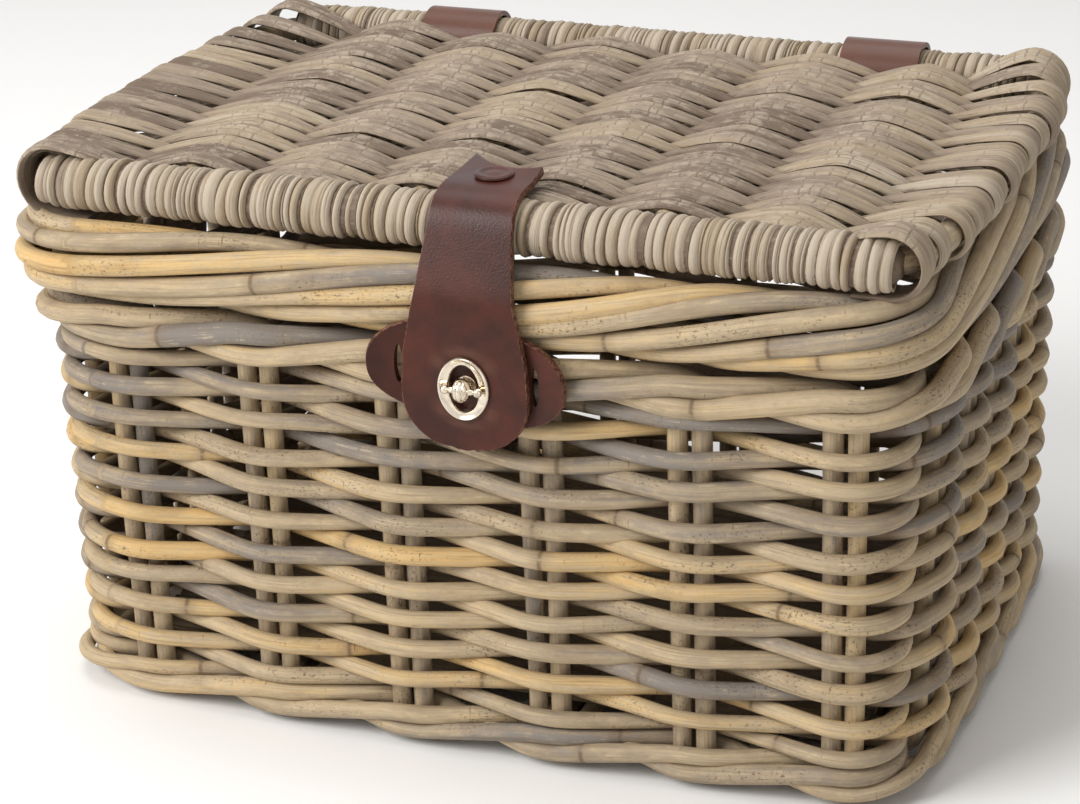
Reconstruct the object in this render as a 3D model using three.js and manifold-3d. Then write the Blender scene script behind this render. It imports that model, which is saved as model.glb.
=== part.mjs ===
// A lidded rattan basket for a bicycle: walls woven on doubled stakes, a twisted rim, a woven lid,
// a leather strap with a turn lock, and two leather hinge loops. Millimetres, +Z up, front at -Y.
import * as THREE from 'three';
import { mergeVertices } from 'three/addons/utils/BufferGeometryUtils.js';
import Module from 'manifold-3d';

const wasm = await Module();
wasm.setup();

const GAP = 0.3; // left between pieces that touch

// Lid
const LID_WIDTH = 400;
const LID_DEPTH = 272;
const LID_CORNER = 24; // bend of the rails' ends, along their middle
const RAIL_RADIUS = 12; // over the binding
const RAIL_TAIL = 3; // straight end of a rail past its bend
const BINDING_GROOVE = 1.3;
const BINDING_TURNS = 18;
const SIDE_RAIL_RADIUS = 6;
const RIB_COUNT = 6;
const RIB_MARGIN = 72.5; // from the lid's edge to its outer ribs, before the shift
const RIB_PITCH = (LID_WIDTH - 2 * RIB_MARGIN) / (RIB_COUNT - 1);
const RIB_RADIUS = 4.5;
const STRIP_THICKNESS = 3;
const STRIP_ROWS = 20;
const LID_WEAVE_LIFT = 3.4; // the ribs lie this far above the rails' axis

// Walls, measured along the middle of the stakes
const SIDE_OVERHANG = 13; // the lid reaches this far past the walls
const FACE_OVERHANG = 9;
const WALL_WIDTH = LID_WIDTH - 2 * SIDE_OVERHANG;
const WALL_DEPTH = LID_DEPTH - 2 * FACE_OVERHANG;
const CORNER_RADIUS = 25;
const FACE_BOW = 5; // swell of the front and back walls at their middle
const SIDE_BOW = 3;
const TAPER = 4; // how far each wall leans in at the floor

// Stakes: canes in pairs
const STAKE_RADIUS = 3.7;
const STAKE_TWIN = 5; // half the distance between the two canes of a pair
const STAKE_MARGIN = 2; // a weaver lies flat this far past the middles of a pair's canes
const WEAVE_SHIFT = 8; // pairs, ribs and fittings are set out from this far right of the middle
const FACE_PAIRS = 6;
const FACE_MARGIN = 32; // from the wall's corner to the outer pairs, before the shift
const FACE_PITCH = (WALL_WIDTH - 2 * FACE_MARGIN) / (FACE_PAIRS - 1);
const SIDE_PAIRS = 5;
const SIDE_MARGIN = 43;
const SIDE_PITCH = (WALL_DEPTH - 2 * SIDE_MARGIN) / (SIDE_PAIRS - 1);
const FACE_HOOP_BEND = 9;
const SIDE_HOOP_BEND = 7;

// Weavers
const ROWS = 19;
const ROW_RADIUS = 3.5;
const ROW_PITCH = 2 * ROW_RADIUS + GAP;
const FIRST_ROW_Z = 30.25;
const FOOT_CANES = 3;
const FOOT_PITCH = 7.8; // from one foot cane to the next, and to the first row
const WALE_ROUNDS = 3;
const WALE_RADIUS = 3.65;
const WALE_STEP = 9.6; // rise from the lower to the upper cane of the wale
const ROUND_SIDES = 5; // facets round a cane

// Base mat
const MAT_CANES = 30;
const MAT_THICKNESS = 5.6;
const MAT_GROOVE = 2;
const MAT_CLEARANCE = 2; // to the weavers
const MAT_END_CLEARANCE = 5;

// Rim
const BORDER_CANES = 4;
const BORDER_RADIUS = 4.8;
const BORDER_TURNS = 3;
const BORDER_STATION = 42; // about the length between two points along a border cane
const RIM_HEIGHT = 34.15;

// Leather. Heights are from the top weaver row up to the patch, and from the patch's middle down.
const STRAP_SHIFT = 7; // the strap and the lock lie this far right of the weave's middle
const STRAP_THICKNESS = 3.2;
const STRAP_TOP_HALF = 20;
const STRAP_END_HALF = 26.5;
const STRAP_END_DROP = 31;
const STRAP_END_ROUND = 22;
const STRAP_SHOULDER = 4; // the strap turns straight down this far above the rim's middle
const STRAP_TAIL_REACH = 33; // along the lid from the front rail's middle to the strap's end
const STRAP_BEND_GAP = 2.3; // room for the strap to fold up at its bend
const PATCH_THICKNESS = 3;
const PATCH_HALF_LENGTH = 41;
const PATCH_HALF_HEIGHT = 20;
const PATCH_TIP = 4; // half the height of the patch's cut tips
const PATCH_RISE = 14.35;
const SLIT_HALF = [1.5, 8];
const SLIT_INSET = 11;
const LOOP_THICKNESS = 2.2;
const LOOP_SOLE = 1.6; // thickness where the loop passes under the rim
const LOOP_WIDTH = 36;
const LOOP_SPREAD = 102; // from the middle of the weave to each hinge loop
const LOOP_CLEARANCE = 0.4; // to the rim
const LOOP_FACETS = 12; // in a full turn
const LOOP_CHAMFER = 4.5;

// Lock
const LOCK_DROP = 4.5;
const EYELET_HALF = [11, 13.2];
const EYELET_HOLE = [6.3, 9.8];
const EYELET_WALL = 1.4;
const EYELET_FLANGE = 1.6;
const PLATE_RIM = 2; // the lock's foot plate reaches this far past the post
const PLATE_THICKNESS = 1.2;
const POST_RADIUS = 2.4;
const PIVOT_RADIUS = 1.3;
const PIVOT_LENGTH = 2;
const KNOB_BALL = 1.9;
const KNOB_HALF_LENGTH = 6.9; // to the middle of each ball
const KNOB_WAIST = 1.3;
const HUB_RADIUS = 4.4;
const HUB_HEIGHT = 6;
const RIVET_REACH = 12.5; // along the lid from the front rail's middle
const RIVET_HEAD = 8;
const RIVET_DOME = 2.6;
const RIVET_SHANK = 2.5;

// Heights that follow from the rows
const TOP_ROW_Z = FIRST_ROW_Z + (ROWS - 1) * ROW_PITCH;
const WALE_LOW_Z = TOP_ROW_Z + ROW_RADIUS + GAP + WALE_RADIUS;
const WALE_HIGH_Z = WALE_LOW_Z + WALE_STEP;
const STAKE_TOP_Z = WALE_HIGH_Z + WALE_RADIUS;
const RIM_BOTTOM_Z = STAKE_TOP_Z + GAP + LOOP_SOLE + GAP;
const RIM_TOP_Z = RIM_BOTTOM_Z + RIM_HEIGHT;
const LID_AXIS_Z = RIM_TOP_Z + GAP + RAIL_RADIUS; // middle of the lid's rails
const PATCH_Z = TOP_ROW_Z + PATCH_RISE;
const LOCK_Z = PATCH_Z - LOCK_DROP;
const STRAP_END_Z = PATCH_Z - STRAP_END_DROP;

const X_AXIS = new THREE.Vector3(1, 0, 0);
const Y_AXIS = new THREE.Vector3(0, 1, 0);
const Z_AXIS = new THREE.Vector3(0, 0, 1);

const COLOURS = {
  cane: '#a39277', stake: '#94866d', wale: '#8d8577', border: '#b39f78', strip: '#b3a68f',
  leather: '#5a2f27', nickel: '#c9c3b4', rivet: '#4a2a22',
};

// Closed solids from rings of points

function solidFromRings(rings, closed) {
  const sides = rings[0].length;
  const positions = rings.flat().flatMap((p) => [p.x, p.y, p.z]);
  const index = [];
  const spans = closed ? rings.length : rings.length - 1;
  for (let i = 0; i < spans; i += 1) {
    const here = i * sides;
    const next = ((i + 1) % rings.length) * sides;
    for (let k = 0; k < sides; k += 1) {
      const m = (k + 1) % sides;
      index.push(here + k, next + k, next + m, here + k, next + m, here + m);
    }
  }
  if (!closed) {
    const last = (rings.length - 1) * sides;
    for (let k = 1; k < sides - 1; k += 1) {
      index.push(0, k, k + 1, last, last + k + 1, last + k);
    }
  }
  const geometry = new THREE.BufferGeometry();
  geometry.setAttribute('position', new THREE.Float32BufferAttribute(positions, 3));
  geometry.setIndex(index);
  return faceOutward(geometry);
}

function faceOutward(geometry) {
  const p = geometry.getAttribute('position');
  const order = geometry.getIndex();
  const [a, b, c] = [new THREE.Vector3(), new THREE.Vector3(), new THREE.Vector3()];
  let volume = 0;
  for (let i = 0; i < order.count; i += 3) {
    a.fromBufferAttribute(p, order.getX(i));
    b.fromBufferAttribute(p, order.getX(i + 1));
    c.fromBufferAttribute(p, order.getX(i + 2));
    volume += a.dot(b.cross(c));
  }
  if (volume < 0) {
    for (let i = 0; i < order.count; i += 3) {
      const second = order.getX(i + 1);
      order.setX(i + 1, order.getX(i + 2));
      order.setX(i + 2, second);
    }
  }
  return geometry;
}

// Carries a section along a path of straight runs, mitred where the runs meet.
// sectionAt(i) gives [side, lift] pairs; lift lies along the vector from upAt(i).
function sweep(points, sectionAt, { closed = false, upAt = () => Z_AXIS } = {}) {
  const count = points.length;
  const direction = (i) => points[(i + 1) % count].clone().sub(points[i % count]).normalize();
  const rings = points.map((point, i) => {
    const first = !closed && i === 0;
    const last = !closed && i === count - 1;
    const leaving = last ? direction(i - 1) : direction(i);
    const arriving = first ? leaving : direction(i + count - 1);
    const tangent = arriving.clone().add(leaving).normalize();
    const side = tangent.clone().cross(upAt(i)).normalize();
    const lift = side.clone().cross(tangent);
    const turn = leaving.clone().sub(arriving);
    const stretch = 1 / tangent.dot(leaving) - 1;
    turn.normalize();
    return sectionAt(i).map(([across, upward]) => {
      const offset = side.clone().multiplyScalar(across).addScaledVector(lift, upward);
      offset.addScaledVector(turn, offset.dot(turn) * stretch);
      return offset.add(point);
    });
  });
  return solidFromRings(rings, closed);
}

function roundSection(radius, sides, turn = 0) {
  return Array.from({ length: sides }, (_, k) => {
    const angle = turn + (k / sides) * 2 * Math.PI;
    return [radius * Math.cos(angle), radius * Math.sin(angle)];
  });
}

const rectangle = (halfSide, halfLift) => [
  [-halfSide, -halfLift], [halfSide, -halfLift], [halfSide, halfLift], [-halfSide, halfLift],
];

// Extrudes a shape drawn in one of the frame's planes, along that plane's normal
function extrudeAlong(shape, depth, toWorld, curveSegments = 6) {
  const geometry = new THREE.ExtrudeGeometry(shape, { depth, bevelEnabled: false, curveSegments });
  geometry.applyMatrix4(toWorld);
  return faceOutward(welded(geometry));
}

const frontPlane = (y) => new THREE.Matrix4()
  .makeBasis(X_AXIS, Z_AXIS, Y_AXIS.clone().negate()).setPosition(0, y, 0);
const sidePlane = (x) => new THREE.Matrix4().makeBasis(Y_AXIS, Z_AXIS, X_AXIS).setPosition(x, 0, 0);

function welded(geometry) {
  const bare = new THREE.BufferGeometry();
  bare.setAttribute('position', geometry.getAttribute('position').clone());
  if (geometry.getIndex()) bare.setIndex(geometry.getIndex().clone());
  return mergeVertices(bare, 1e-4);
}

// A turned solid: profile points are [radius, height], closed on the axis at both ends
function turned(profile, segments, axis, origin) {
  const points = profile.map(([radius, height]) => new THREE.Vector2(radius, height));
  const geometry = new THREE.LatheGeometry(points, segments);
  geometry.applyQuaternion(new THREE.Quaternion().setFromUnitVectors(Y_AXIS, axis));
  geometry.translate(origin.x, origin.y, origin.z);
  return withoutSlivers(faceOutward(welded(geometry)));
}

function withoutSlivers(geometry) {
  const order = Array.from(geometry.getIndex().array);
  const kept = [];
  for (let i = 0; i < order.length; i += 3) {
    const [a, b, c] = order.slice(i, i + 3);
    if (a !== b && b !== c && c !== a) kept.push(a, b, c);
  }
  geometry.setIndex(kept);
  return geometry;
}

// Booleans

function toManifold(geometry) {
  const clean = welded(geometry);
  return new wasm.Manifold(new wasm.Mesh({
    numProp: 3,
    vertProperties: new Float32Array(clean.getAttribute('position').array),
    triVerts: new Uint32Array(clean.getIndex().array),
  }));
}

function toGeometry(manifold) {
  const mesh = manifold.getMesh();
  const geometry = new THREE.BufferGeometry();
  geometry.setAttribute('position', new THREE.BufferAttribute(mesh.vertProperties, 3));
  geometry.setIndex(new THREE.BufferAttribute(mesh.triVerts, 1));
  return geometry;
}

function join(...geometries) {
  return toGeometry(geometries.map(toManifold).reduce((sum, next) => sum.add(next)));
}

function cut(geometry, ...tools) {
  const body = toManifold(geometry);
  return toGeometry(tools.map(toManifold).reduce((rest, tool) => rest.subtract(tool), body));
}

// The wall's path, counterclockwise from the left end of the front wall

const halfFace = WALL_WIDTH / 2 - CORNER_RADIUS;
const halfSide = WALL_DEPTH / 2 - CORNER_RADIUS;
const cornerLength = (CORNER_RADIUS * Math.PI) / 2;
const quarters = [
  { half: halfFace, bow: FACE_BOW, away: halfSide, heading: 0 },
  { half: halfSide, bow: SIDE_BOW, away: halfFace, heading: Math.PI / 2 },
  { half: halfFace, bow: FACE_BOW, away: halfSide, heading: Math.PI },
  { half: halfSide, bow: SIDE_BOW, away: halfFace, heading: (3 * Math.PI) / 2 },
];
const wallStarts = quarters.map((_, q) => quarters.slice(0, q)
  .reduce((sum, { half }) => sum + 2 * half + cornerLength, 0));
const wallLength = 4 * (halfFace + halfSide + cornerLength);
const cornerMiddles = quarters.map(({ half }, q) => wallStarts[q] + 2 * half + cornerLength / 2);

const wrap = (s) => ((s % wallLength) + wallLength) % wallLength;

// The point at distance s round the wall, moved outward and set at height z
function wallPoint(s, outward, z) {
  const along = wrap(s);
  const q = wallStarts.findLastIndex((start) => start <= along);
  const { half, bow, away, heading } = quarters[q];
  const run = along - wallStarts[q] - half;
  const lean = -TAPER * (1 - z / STAKE_TOP_Z);
  let local;
  if (run <= half) {
    const swell = bow * (1 - (run / half) ** 2);
    local = new THREE.Vector2(run, -(away + CORNER_RADIUS + swell + lean + outward));
  } else {
    const angle = (run - half) / CORNER_RADIUS;
    const radius = CORNER_RADIUS + lean + outward;
    local = new THREE.Vector2(half + radius * Math.sin(angle), -(away + radius * Math.cos(angle)));
  }
  local.rotateAround(new THREE.Vector2(), heading);
  return new THREE.Vector3(local.x, local.y, z);
}

// Middles of the stake pairs, as distances round the wall

const spread = (count, pitch, shift = 0) => Array.from(
  { length: count },
  (_, i) => shift + (i - (count - 1) / 2) * pitch,
);
const facePairs = spread(FACE_PAIRS, FACE_PITCH, WEAVE_SHIFT);
const sidePairs = spread(SIDE_PAIRS, SIDE_PITCH);
const pairRuns = [facePairs, sidePairs, facePairs.map((x) => -x).reverse(), sidePairs];
const pairs = pairRuns.flatMap((runs, q) => {
  const wallMiddle = wallStarts[q] + quarters[q].half;
  return runs.map((run) => wallMiddle + run);
});

// How far a cane lies from the stakes it passes, outside and inside the wall

const flatHalf = STAKE_TWIN + STAKE_MARGIN;

function reachOver(radius) {
  return STAKE_RADIUS + radius + GAP;
}

// Behind a pair the cane turns once, so its peak stands off until it clears both stakes
function reachBehind(radius) {
  const clear = reachOver(radius);
  const run = SIDE_PITCH - flatHalf;
  let peak = clear;
  for (let pass = 0; pass < 20; pass += 1) {
    const slope = (clear + peak) / run;
    peak = clear * Math.hypot(1, slope) + slope * STAKE_TWIN;
  }
  return peak;
}

// Turns stops of { s, out, z } into a path, with a stop added at each corner between them
function wallPath(stops, length) {
  const points = [];
  stops.forEach((stop, i) => {
    const next = stops[(i + 1) % stops.length];
    const end = next.s > stop.s ? next.s : next.s + length;
    points.push(wallPoint(stop.s, stop.out, stop.z));
    for (let turn = 0; turn <= length / wallLength + 1; turn += 1) {
      for (const middle of cornerMiddles) {
        const s = middle + turn * wallLength;
        if (s > stop.s + 1 && s < end - 1) {
          const t = (s - stop.s) / (end - stop.s);
          points.push(wallPoint(
            s,
            THREE.MathUtils.lerp(stop.out, next.out, t),
            THREE.MathUtils.lerp(stop.z, next.z, t),
          ));
        }
      }
    }
  });
  return points;
}

const group = new THREE.Group();
group.name = 'bicycle_basket';

function add(name, geometry, colour, roughness = 0.75, metalness = 0) {
  const material = new THREE.MeshStandardMaterial({ color: COLOURS[colour], roughness, metalness });
  const mesh = new THREE.Mesh(geometry, material);
  mesh.name = name;
  group.add(mesh);
}

const numbered = (name, i) => `${name}_${String(i + 1).padStart(2, '0')}`;

// A cane that goes round the wall and closes on itself
function wallCane(stops, radius, length = wallLength) {
  const section = roundSection(radius, ROUND_SIDES);
  return sweep(wallPath(stops, length), () => section, { closed: true });
}

// Weaver rows: over one pair and behind the next, each row the other way from the last

for (let row = 0; row < ROWS; row += 1) {
  const z = FIRST_ROW_Z + row * ROW_PITCH;
  const over = reachOver(ROW_RADIUS);
  const behind = -reachBehind(ROW_RADIUS);
  const stops = pairs.flatMap((s, j) => ((j + row) % 2 === 0
    ? [{ s: s - flatHalf, out: over, z }, { s: s + flatHalf, out: over, z }]
    : [{ s, out: behind, z }]));
  add(numbered('weaver_row', row), wallCane(stops, ROW_RADIUS), 'cane');
}

// Wale: one cane that goes round and round, in front of two pairs and behind the third

const waleStops = Array.from({ length: WALE_ROUNDS * pairs.length }, (_, visit) => {
  const s = pairs[visit % pairs.length] + Math.floor(visit / pairs.length) * wallLength;
  const over = reachOver(WALE_RADIUS);
  const behind = -reachBehind(WALE_RADIUS);
  const near = STAKE_TWIN - STAKE_MARGIN;
  const falling = [
    { s: s - near, out: behind, z: WALE_HIGH_Z },
    { s: s + near, out: behind, z: WALE_LOW_Z },
  ];
  const flat = (z) => [{ s: s - flatHalf, out: over, z }, { s: s + flatHalf, out: over, z }];
  return [falling, flat(WALE_LOW_Z), flat(WALE_HIGH_Z)][visit % WALE_ROUNDS];
}).flat();
add('wale', wallCane(waleStops, WALE_RADIUS, WALE_ROUNDS * wallLength), 'wale');

// Foot canes lie outside the stakes, below the first row

for (let i = 0; i < FOOT_CANES; i += 1) {
  const z = FIRST_ROW_Z - (FOOT_CANES - i) * FOOT_PITCH;
  const stops = quarters.flatMap(({ half }, q) => [
    ...[-1, -0.4, 0.4, 1].map((part) => wallStarts[q] + half + part * half),
    ...[0.25, 0.75].map((part) => wallStarts[q] + 2 * half + part * cornerLength),
  ].map((s) => ({ s, out: reachOver(ROW_RADIUS) + GAP, z })));
  add(numbered('foot_cane', i), wallCane(stops, ROW_RADIUS), 'cane');
}

// Border: canes that twist round each other along the top of the wall

const borderZ = (RIM_BOTTOM_Z + RIM_TOP_Z) / 2;
const borderRise = RIM_HEIGHT / 2 - BORDER_RADIUS;

// The canes swing out just far enough to lie against each other where two pass side by side
const borderPhase = (2 * Math.PI * BORDER_TURNS) / wallLength;
const borderSag = Math.cos((borderPhase * BORDER_STATION) / 2)
  / Math.hypot(1, borderPhase * borderRise);
const borderReach = (2 * BORDER_RADIUS + GAP) / (2 * Math.sin(Math.PI / BORDER_CANES) * borderSag);
const borderStations = quarters.flatMap(({ half }, q) => {
  const steps = Math.round((2 * half) / BORDER_STATION);
  const straight = Array.from({ length: steps + 1 }, (_, i) => wallStarts[q] + (2 * half * i) / steps);
  return [...straight, wallStarts[q] + 2 * half + cornerLength / 2];
});
for (let i = 0; i < BORDER_CANES; i += 1) {
  const points = borderStations.map((s) => {
    const angle = borderPhase * s + (2 * Math.PI * i) / BORDER_CANES;
    return wallPoint(s, borderReach * Math.cos(angle), borderZ + borderRise * Math.sin(angle));
  });
  const section = roundSection(BORDER_RADIUS, ROUND_SIDES);
  add(numbered('border_cane', i), sweep(points, () => section, { closed: true }), 'border');
}

// Stake hoops: a doubled cane up one wall, under the base and up the other. The first end of the
// hairpin is open and the far end turns back on itself below the border.

// From a cane's middle to its flat underside
const stakeFlat = STAKE_RADIUS * Math.cos(Math.PI / ROUND_SIDES);
const faceHoopZ = stakeFlat;
const sideHoopZ = faceHoopZ + STAKE_RADIUS + GAP + stakeFlat;

function bendAt(corner, from, to, radius) {
  const back = from.clone().sub(corner).normalize();
  const on = to.clone().sub(corner).normalize();
  const centre = corner.clone().addScaledVector(back, radius).addScaledVector(on, radius);
  return [0, 1].map((t) => {
    const angle = (t * Math.PI) / 2;
    return centre.clone()
      .addScaledVector(on, -radius * Math.cos(angle))
      .addScaledVector(back, -radius * Math.sin(angle));
  });
}

// One cane of a hoop, from the top of its first wall to the top of the other
function hoopCane(s, mirror, floorZ, bend) {
  const topZ = STAKE_TOP_Z - STAKE_TWIN - 1.5 * STAKE_RADIUS;
  const top = wallPoint(s, 0, topZ);
  const low = wallPoint(s, 0, floorZ);
  const far = low.clone().multiply(mirror);
  const elbow = bendAt(low, top, far, bend);
  const farElbow = elbow.map((p) => p.clone().multiply(mirror)).reverse();
  return [top, ...elbow, ...farElbow, top.clone().multiply(mirror)];
}

function hoop(s, mirror, floorZ, bend, up) {
  const first = hoopCane(s - STAKE_TWIN, mirror, floorZ, bend);
  const second = hoopCane(s + STAKE_TWIN, mirror, floorZ, bend).reverse();
  const peak = first[first.length - 1].clone().add(second[0]).multiplyScalar(0.5);
  peak.z += STAKE_TWIN;
  const path = [...first, peak, ...second];
  const section = roundSection(STAKE_RADIUS, ROUND_SIDES, Math.PI / ROUND_SIDES);
  const returning = up.clone().negate();
  const ups = [...first.map(() => up), Z_AXIS.clone().negate(), ...second.map(() => returning)];
  return sweep(path, () => section, { upAt: (i) => ups[i] });
}

const frontToBack = new THREE.Vector3(1, -1, 1);
const rightToLeft = new THREE.Vector3(-1, 1, 1);
facePairs.forEach((_, i) => add(
  numbered('stake_hoop_front_back', i),
  hoop(pairs[i], frontToBack, faceHoopZ, FACE_HOOP_BEND, X_AXIS),
  'stake',
));
sidePairs.forEach((_, i) => add(
  numbered('stake_hoop_left_right', i),
  hoop(pairs[FACE_PAIRS + i], rightToLeft, sideHoopZ, SIDE_HOOP_BEND, Y_AXIS),
  'stake',
));

// Base mat: canes side by side, one ribbed sheet on the crossed hoops

const innerReach = reachBehind(ROW_RADIUS) + ROW_RADIUS + TAPER;
const matHalfX = WALL_WIDTH / 2 - innerReach - MAT_END_CLEARANCE;
const matHalfY = WALL_DEPTH / 2 - innerReach - MAT_CLEARANCE;
const matCaneWidth = (2 * matHalfY) / MAT_CANES;
const matBottom = sideHoopZ + STAKE_RADIUS + GAP;
const matTop = matBottom + MAT_THICKNESS;
const matShape = new THREE.Shape();
matShape.moveTo(-matHalfY, matBottom);
matShape.lineTo(matHalfY, matBottom);
for (let i = MAT_CANES; i > 0; i -= 1) {
  matShape.lineTo(-matHalfY + i * matCaneWidth, matTop - MAT_GROOVE);
  matShape.lineTo(-matHalfY + (i - 0.5) * matCaneWidth, matTop);
}
matShape.lineTo(-matHalfY, matTop - MAT_GROOVE);
add('base_mat', extrudeAlong(matShape, 2 * matHalfX, sidePlane(-matHalfX)), 'cane');

// Lid frame

const railY = LID_DEPTH / 2 - RAIL_RADIUS;
const stripReach = (SIDE_RAIL_RADIUS + GAP + STRIP_THICKNESS / 2) / Math.cos(Math.PI / 6);
const sideRailX = LID_WIDTH / 2 - stripReach - STRIP_THICKNESS / 2 / Math.cos(Math.PI / 6);
const sideRailReach = railY - LID_CORNER - RAIL_TAIL - GAP;

// A front or back rail: bound along its straight, bare where its ends turn into the side rails
function boundRail(side) {
  const straight = sideRailX - LID_CORNER;
  const pitch = (2 * straight) / BINDING_TURNS;
  const points = [];
  const radii = [];
  const place = (x, y, radius) => {
    points.push(new THREE.Vector3(x, side * y, LID_AXIS_Z));
    radii.push(radius);
  };
  const elbow = (end, degrees) => {
    const angle = THREE.MathUtils.degToRad(degrees);
    const inset = LID_CORNER * (1 - Math.cos(angle));
    place(end * (straight + LID_CORNER * Math.sin(angle)), railY - inset, SIDE_RAIL_RADIUS);
  };
  place(-sideRailX, sideRailReach + GAP, SIDE_RAIL_RADIUS);
  [90, 60, 30, 8].forEach((degrees) => elbow(-1, degrees));
  for (let i = 0; i <= 2 * BINDING_TURNS; i += 1) {
    const radius = i % 2 === 0 ? RAIL_RADIUS - BINDING_GROOVE : RAIL_RADIUS;
    place(-straight + (i * pitch) / 2, railY, radius);
  }
  [8, 30, 60, 90].forEach((degrees) => elbow(1, degrees));
  place(sideRailX, sideRailReach + GAP, SIDE_RAIL_RADIUS);
  return sweep(points, (i) => roundSection(radii[i], 6, Math.PI / 6));
}
add('lid_front_rail', boundRail(-1), 'strip');
add('lid_back_rail', boundRail(1), 'strip');

function crossBar(x, z, radius, reach) {
  const ends = [new THREE.Vector3(x, -reach, z), new THREE.Vector3(x, reach, z)];
  const section = roundSection(radius, 6, Math.PI / 6);
  return sweep(ends, () => section);
}
add('lid_left_rail', crossBar(-sideRailX, LID_AXIS_Z, SIDE_RAIL_RADIUS, sideRailReach), 'strip');
add('lid_right_rail', crossBar(sideRailX, LID_AXIS_Z, SIDE_RAIL_RADIUS, sideRailReach), 'strip');

const ribs = spread(RIB_COUNT, RIB_PITCH, WEAVE_SHIFT);
const ribZ = LID_AXIS_Z + LID_WEAVE_LIFT;
const ribReach = railY - RAIL_RADIUS - GAP;
ribs.forEach((x, i) => {
  add(numbered('lid_rib', i), crossBar(x, ribZ, RIB_RADIUS, ribReach), 'stake');
});

// Lid weave: one flat cane, over and under the ribs, down round a side rail and back

// A hinge loop's corners stand far enough out for its flats to clear the rail as it turns
const loopCorner = (radius) => radius / Math.cos(Math.PI / LOOP_FACETS);
const loopOuter = loopCorner(RAIL_RADIUS + GAP + LOOP_THICKNESS);
const stripFront = -(railY - RAIL_RADIUS - GAP);
const stripBack = railY - loopOuter - 2 * GAP;
const stripPitch = (stripBack - stripFront) / STRIP_ROWS;
const stripSlope = THREE.MathUtils.degToRad(21); // steeper than the strip ever runs
const stripWave = (RIB_RADIUS + STRIP_THICKNESS / 2 + GAP) / Math.cos(stripSlope);
const weavePoints = [];
for (let row = 0; row < STRIP_ROWS; row += 1) {
  const y = stripFront + (row + 0.5) * stripPitch;
  const toRight = row % 2 === 0;
  const order = toRight ? ribs : [...ribs].reverse();
  order.forEach((x, i) => weavePoints.push(
    new THREE.Vector3(x, y, ribZ + (i % 2 === 0 ? stripWave : -stripWave)),
  ));
  if (row < STRIP_ROWS - 1) {
    const outward = toRight ? 1 : -1;
    [90, 30, -30, -90].forEach((degrees, i) => {
      const angle = THREE.MathUtils.degToRad(degrees);
      weavePoints.push(new THREE.Vector3(
        outward * (sideRailX + stripReach * Math.cos(angle)),
        y + (i / 3) * stripPitch,
        LID_AXIS_Z + stripReach * Math.sin(angle),
      ));
    });
  }
}
const stripSection = rectangle(STRIP_THICKNESS / 2, stripPitch / 2 - GAP);
add('lid_weave', sweep(weavePoints, () => stripSection, { upAt: () => Y_AXIS }), 'strip');

// Strap: one leather strip. Its anchor lies on the lid and over the front rail, and its flap hangs
// over the lock and folds up at the bend.

const strapX = WEAVE_SHIFT + STRAP_SHIFT;
const weaveFace = reachOver(WALE_RADIUS) + WALE_RADIUS;
const patchBackY = wallPoint(wallStarts[0] + halfFace + strapX, weaveFace, WALE_HIGH_Z).y - GAP;
const patchFrontY = patchBackY - PATCH_THICKNESS;
const strapBackY = patchFrontY - GAP;
const strapY = strapBackY - STRAP_THICKNESS / 2;
const strapFrontY = strapBackY - STRAP_THICKNESS;
const strapRadius = RAIL_RADIUS + GAP + STRAP_THICKNESS / 2;
const railCentre = new THREE.Vector3(strapX, -railY, LID_AXIS_Z);
const shoulder = new THREE.Vector3(strapX, strapY, borderZ + STRAP_SHOULDER);

// The strap leaves the rail where the line to the shoulder just touches the rail's curve
const toShoulder = shoulder.clone().sub(railCentre);
const leaveAngle = Math.atan2(toShoulder.z, toShoulder.y) + 2 * Math.PI
  - Math.acos(strapRadius / toShoulder.length());
const onRail = (angle) => new THREE.Vector3(
  strapX,
  -railY + strapRadius * Math.cos(angle),
  LID_AXIS_Z + strapRadius * Math.sin(angle),
);
const bend = onRail(leaveAngle);
const strapSection = (halfWidth) => rectangle(STRAP_THICKNESS / 2, halfWidth);

const anchorEnd = leaveAngle - STRAP_BEND_GAP / strapRadius;
const strapTailY = STRAP_TAIL_REACH - railY;
const anchorPath = [new THREE.Vector3(strapX, strapTailY, LID_AXIS_Z + strapRadius)];
for (let i = 0; i <= 4; i += 1) {
  anchorPath.push(onRail(THREE.MathUtils.lerp(Math.PI / 2, anchorEnd, i / 4)));
}
const rivetY = RIVET_REACH - railY;
const holeRadius = RIVET_SHANK + GAP;
const holeReach = STRAP_THICKNESS; // each way from the strap's middle, so that the hole goes through
const shankHole = turned(
  [[0, -holeReach], [holeRadius, -holeReach], [holeRadius, holeReach], [0, holeReach]],
  8,
  Z_AXIS,
  new THREE.Vector3(strapX, rivetY, LID_AXIS_Z + strapRadius),
);
const anchorSection = strapSection(STRAP_TOP_HALF);
const anchor = sweep(anchorPath, () => anchorSection, { upAt: () => X_AXIS });
add('strap_anchor', cut(anchor, shankHole), 'leather', 0.5);

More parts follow.
